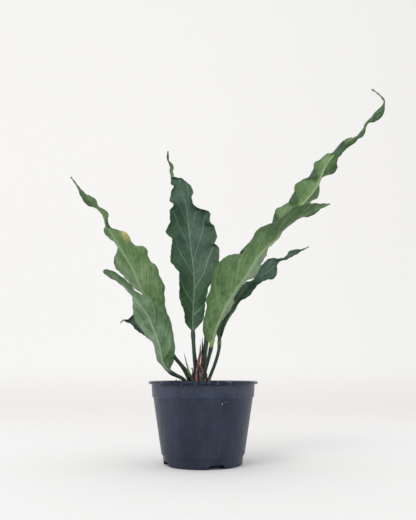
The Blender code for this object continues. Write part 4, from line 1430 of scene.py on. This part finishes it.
# %% Strew the grains
PERLITE_GRAINS = 120
SMALLEST_GRAIN = 0.6
GRAIN_SPREAD = 1.5
GRAIN_LUMP = 0.35
GRAIN_NOISE = 900
CAUGHT_GRAINS = [
    (-13.6, -8.2, 110.6, 1.2), (-35.4, 54.0, 96.7, 1.1), (-31.0, 56.5, 96.5, 0.7),
    (21.3, -55.2, 71.4, 0.65), (17.0, -57.2, 74.6, 0.3), (25.4, -53.9, 73.4, 0.3),
]


def add_grain(bm, size, seed=(0.0, 0.0, 0.0)):
    """A lumpy grain at the origin, by its radius in millimetres."""
    verts = bmesh.ops.create_icosphere(bm, subdivisions=2, radius=size * MM)["verts"]
    for vert in verts:
        vert.co *= 1 + GRAIN_LUMP * noise.noise(vert.co * GRAIN_NOISE + Vector(seed))
    return verts


perlite = bmesh.new()
for _ in range(PERLITE_GRAINS):
    size = SMALLEST_GRAIN + GRAIN_SPREAD * draw.random() ** 2
    x, y = free_spot(size)
    strewn(perlite, add_grain(perlite, size, (x, y, 0.0)), x, y, size * 0.35)
for *place, size in CAUGHT_GRAINS:
    bmesh.ops.translate(perlite, verts=add_grain(perlite, size), vec=Vector(place) * MM)

perlite_finish, where = new_finish("perlite")
pits = fade(cloud(where, 0.6, 3.0, 0.7), 0.4, 0.6)
white = blend(pits, (206, 200, 190), (240, 238, 232))
complete(perlite_finish, white, 0.9, relief=pits, depth_mm=0.3)
finish_piece("perlite_grains", perlite, perlite_finish)

# %% [markdown]
# ## The stem
# The leaves grow from a short thick stem, hardly taller than the mix. It is a turned dome with
# its top roughened by noise, in the brown of dry plant skin.

# %% Shape the stem
CROWN_TOP = 90.0
CROWN_FOOT = 70.0
ROUGH_DEPTH = 9.0
STEM_SEGMENTS = 72
DOME = [
    (0.0, 0.0), (2.0, 0.0), (4.0, 0.3), (6.0, 0.6), (8.3, 1.4), (10.5, 2.4), (12.2, 3.6),
    (13.6, 5.0), (14.5, 6.4), (CROWN_RADIUS, 8.0),
]
stem_side = [(radius, CROWN_TOP - drop) for radius, drop in DOME]
stem_side += [(CROWN_RADIUS, CROWN_FOOT), (0.0, CROWN_FOOT)]
stem = spun(stem_side, STEM_SEGMENTS)
for vert in stem.verts:
    if vert.co.z > (CROWN_TOP - ROUGH_DEPTH) * MM:
        lump = noise.noise(vert.co * 300) * 0.7 + noise.noise(vert.co * 900) * 0.3
        vert.co += vert.co.normalized() * lump * MM
bmesh.ops.translate(stem, verts=stem.verts[:], vec=Vector((CROWN_X, CROWN_Y, 0.0)) * MM)


def paper_finish(name, pale, dark, deep):
    """Dry plant skin: pale and dark fibres along it, and deep blotches."""
    made, where = new_finish(name)
    fibre = fade(cloud(where, 1.3, 4.0, 0.6, (1.0, 1.0, 0.12)), 0.35, 0.65)
    blotch = fade(cloud(where, 7.0, 3.0), 0.42, 0.58)
    tone = blend(blotch * 0.75, blend(fibre, dark, pale), deep)
    complete(made, tone, 0.7, relief=fibre, depth_mm=0.3)
    return made


stem_finish = paper_finish("stem_brown", (150, 112, 100), (92, 62, 52), (60, 44, 36))
finish_piece("stem_finished", stem, stem_finish, "crown_with_papery_sheaths")

# %% [markdown]
# ## The papery sheaths
# Each young leaf was wrapped in a sheath, which dries to brown paper round the foot of its
# stalk: thin, streaked by fibres, and torn at its tip. A flat grid is bent round the stalk, its
# top is torn by noise, and it is given its thickness.
# Each row below names a tone, gives the angle that the strip wraps to either side and a seed for
# its tear, and lists places and half widths from its foot to its tip.

# %% List the sheaths
SHEATHS = [
    ("dark", 70, 1, [
        (-2.5, -2.5, 84, 3.4), (-2.4, -3.0, 105, 2.6), (-1.3, -3.2, 126, 1.3),
        (-0.4, -2.5, 152, 0.7)]),
    ("pale", 75, 2, [
        (-7.0, -3.0, 84, 4.2), (-6.5, -4.6, 104, 3.4), (-5.9, -4.4, 118, 2.5),
        (-3.9, -3.8, 130, 1.5), (-3.2, -3.2, 148, 1.0)]),
    ("dark", 60, 3, [(-11, -6, 84, 3.0), (-11.8, -7, 97, 2.2), (-13.4, -7.5, 114, 0.9)]),
    ("orange", 70, 4, [
        (0.4, -3.6, 84, 3.4), (0.2, -4.8, 106, 2.9), (-0.6, -4.8, 120, 2.2),
        (-1.4, -4.4, 131, 0.9)]),
    ("pale", 62, 5, [
        (-5, -6.5, 84, 5.2), (-5.2, -7.6, 98, 4.8), (-5.4, -7.4, 109, 3.8),
        (-5.8, -6.6, 119, 1.6)]),
    ("pale", 50, 6, [
        (2.2, -8.0, 98, 1.6), (0.6, -9.6, 106, 2.0), (-2.4, -10.0, 112, 1.8),
        (-6.6, -8.8, 119, 1.0)]),
    ("dark", 55, 7, [(-5.2, -8.2, 96, 1.6), (-5.9, -9.3, 105, 1.6), (-6.2, -9.0, 115, 0.7)]),
    ("pale", 60, 8, [(3.0, -7.5, 84, 2.4), (2.8, -8, 97, 1.7), (2.4, -8, 109, 0.7)]),
    ("dark", 60, 9, [(-8.6, -2.5, 100, 2.0), (-8.9, -3.4, 116, 1.6), (-9.0, -3.2, 130, 0.9)]),
    ("dark", 60, 10, [(4.6, -6.5, 84, 2.4), (4.6, -7.2, 97, 1.6), (4.3, -7, 106, 0.6)]),
    ("pale", 60, 11, [(6.5, -3, 84, 3.4), (7.6, -3.8, 95, 2.8), (8.2, -3.4, 103, 1.2)]),
    ("dark", 60, 12, [(-15, -6, 84, 3.8), (-17.0, -8, 94, 3.2), (-18.5, -8.5, 103, 1.2)]),
    ("orange", 60, 13, [(-11, -10, 84, 3.8), (-12.5, -11, 94, 3.0), (-13.5, -11, 103, 1.4)]),
    ("pale", 70, 14, [(-9, 8, 84, 4.2), (-9.5, 9.5, 100, 3.4), (-9, 10, 115, 0.8)]),
    ("dark", 70, 15, [(2, 8, 84, 4.0), (3, 9.5, 98, 3.0), (4, 10, 110, 0.8)]),
]
SHEATH_TONES = {
    "pale": [(206, 176, 174), (150, 112, 108), (96, 58, 56)],
    "dark": [(124, 78, 80), (74, 40, 44), (44, 26, 30)],
    "orange": [(156, 92, 64), (104, 58, 40), (60, 40, 28)],
}
print("sheaths:", len(SHEATHS))

# %% Bend and tear the sheaths
SHEATH_THICKNESS = 0.35
SHEATH_COLUMNS = 22
SHEATH_ROWS = 54
TEAR = 0.26
CREASE = 0.7
CRUMPLE = 1.1
TOWARD_VIEWER = Vector((0.0, -1.2, 0.0))


def sheath(wrap, seed, shape):
    """One dry strip, from its foot on the stem to its torn tip."""
    foot = Vector(shape[0][:3])
    outward = Vector((foot.x - CROWN_X, foot.y - CROWN_Y, 0.0)).normalized()
    if foot.y < CROWN_Y:
        outward = (outward + TOWARD_VIEWER).normalized()
    across = Vector((0.0, 0.0, 1.0)).cross(outward).normalized()
    wrap = math.radians(wrap)
    knots = np.linspace(0.0, 1.0, len(shape))
    bm = bmesh.new()
    bmesh.ops.create_grid(bm, x_segments=SHEATH_COLUMNS, y_segments=SHEATH_ROWS, size=1.0)
    for vert in bm.verts:
        u, t = vert.co.x, (vert.co.y + 1) / 2
        ragged = noise.noise(Vector((u * 2.2, seed, 0.0)))
        ragged += 0.6 * noise.noise(Vector((u * 6.5, seed, 3.0)))
        t *= 1 - TEAR * np.clip(0.35 + 0.8 * ragged + 0.5 * abs(u) ** 2, 0.0, 1.0)
        *middle, half = (float(value) for value in smooth(knots, shape, np.array([t]))[0])
        bend = half / math.sin(wrap)
        turn = u * wrap * (1 - 0.4 * t)
        crease = CREASE * math.sin(u * 9 + seed * 2 + 4 * t) * (0.3 + t)
        crease += CRUMPLE * noise.noise(Vector((u * 1.7, t * 6, seed)))
        place = Vector(middle) + across * bend * math.sin(turn)
        place += outward * (bend * (math.cos(turn) - 1) + crease)
        vert.co = place * MM
    bmesh.ops.solidify(bm, geom=bm.faces[:], thickness=SHEATH_THICKNESS * MM)
    return bm


sheath_finishes = {
    tone: paper_finish(tone + "_papery_sheath", *colours)
    for tone, colours in SHEATH_TONES.items()
}
for tone, wrap, seed, shape in SHEATHS:
    finish_piece(f"sheath_{seed}", sheath(wrap, seed, shape), sheath_finishes[tone])
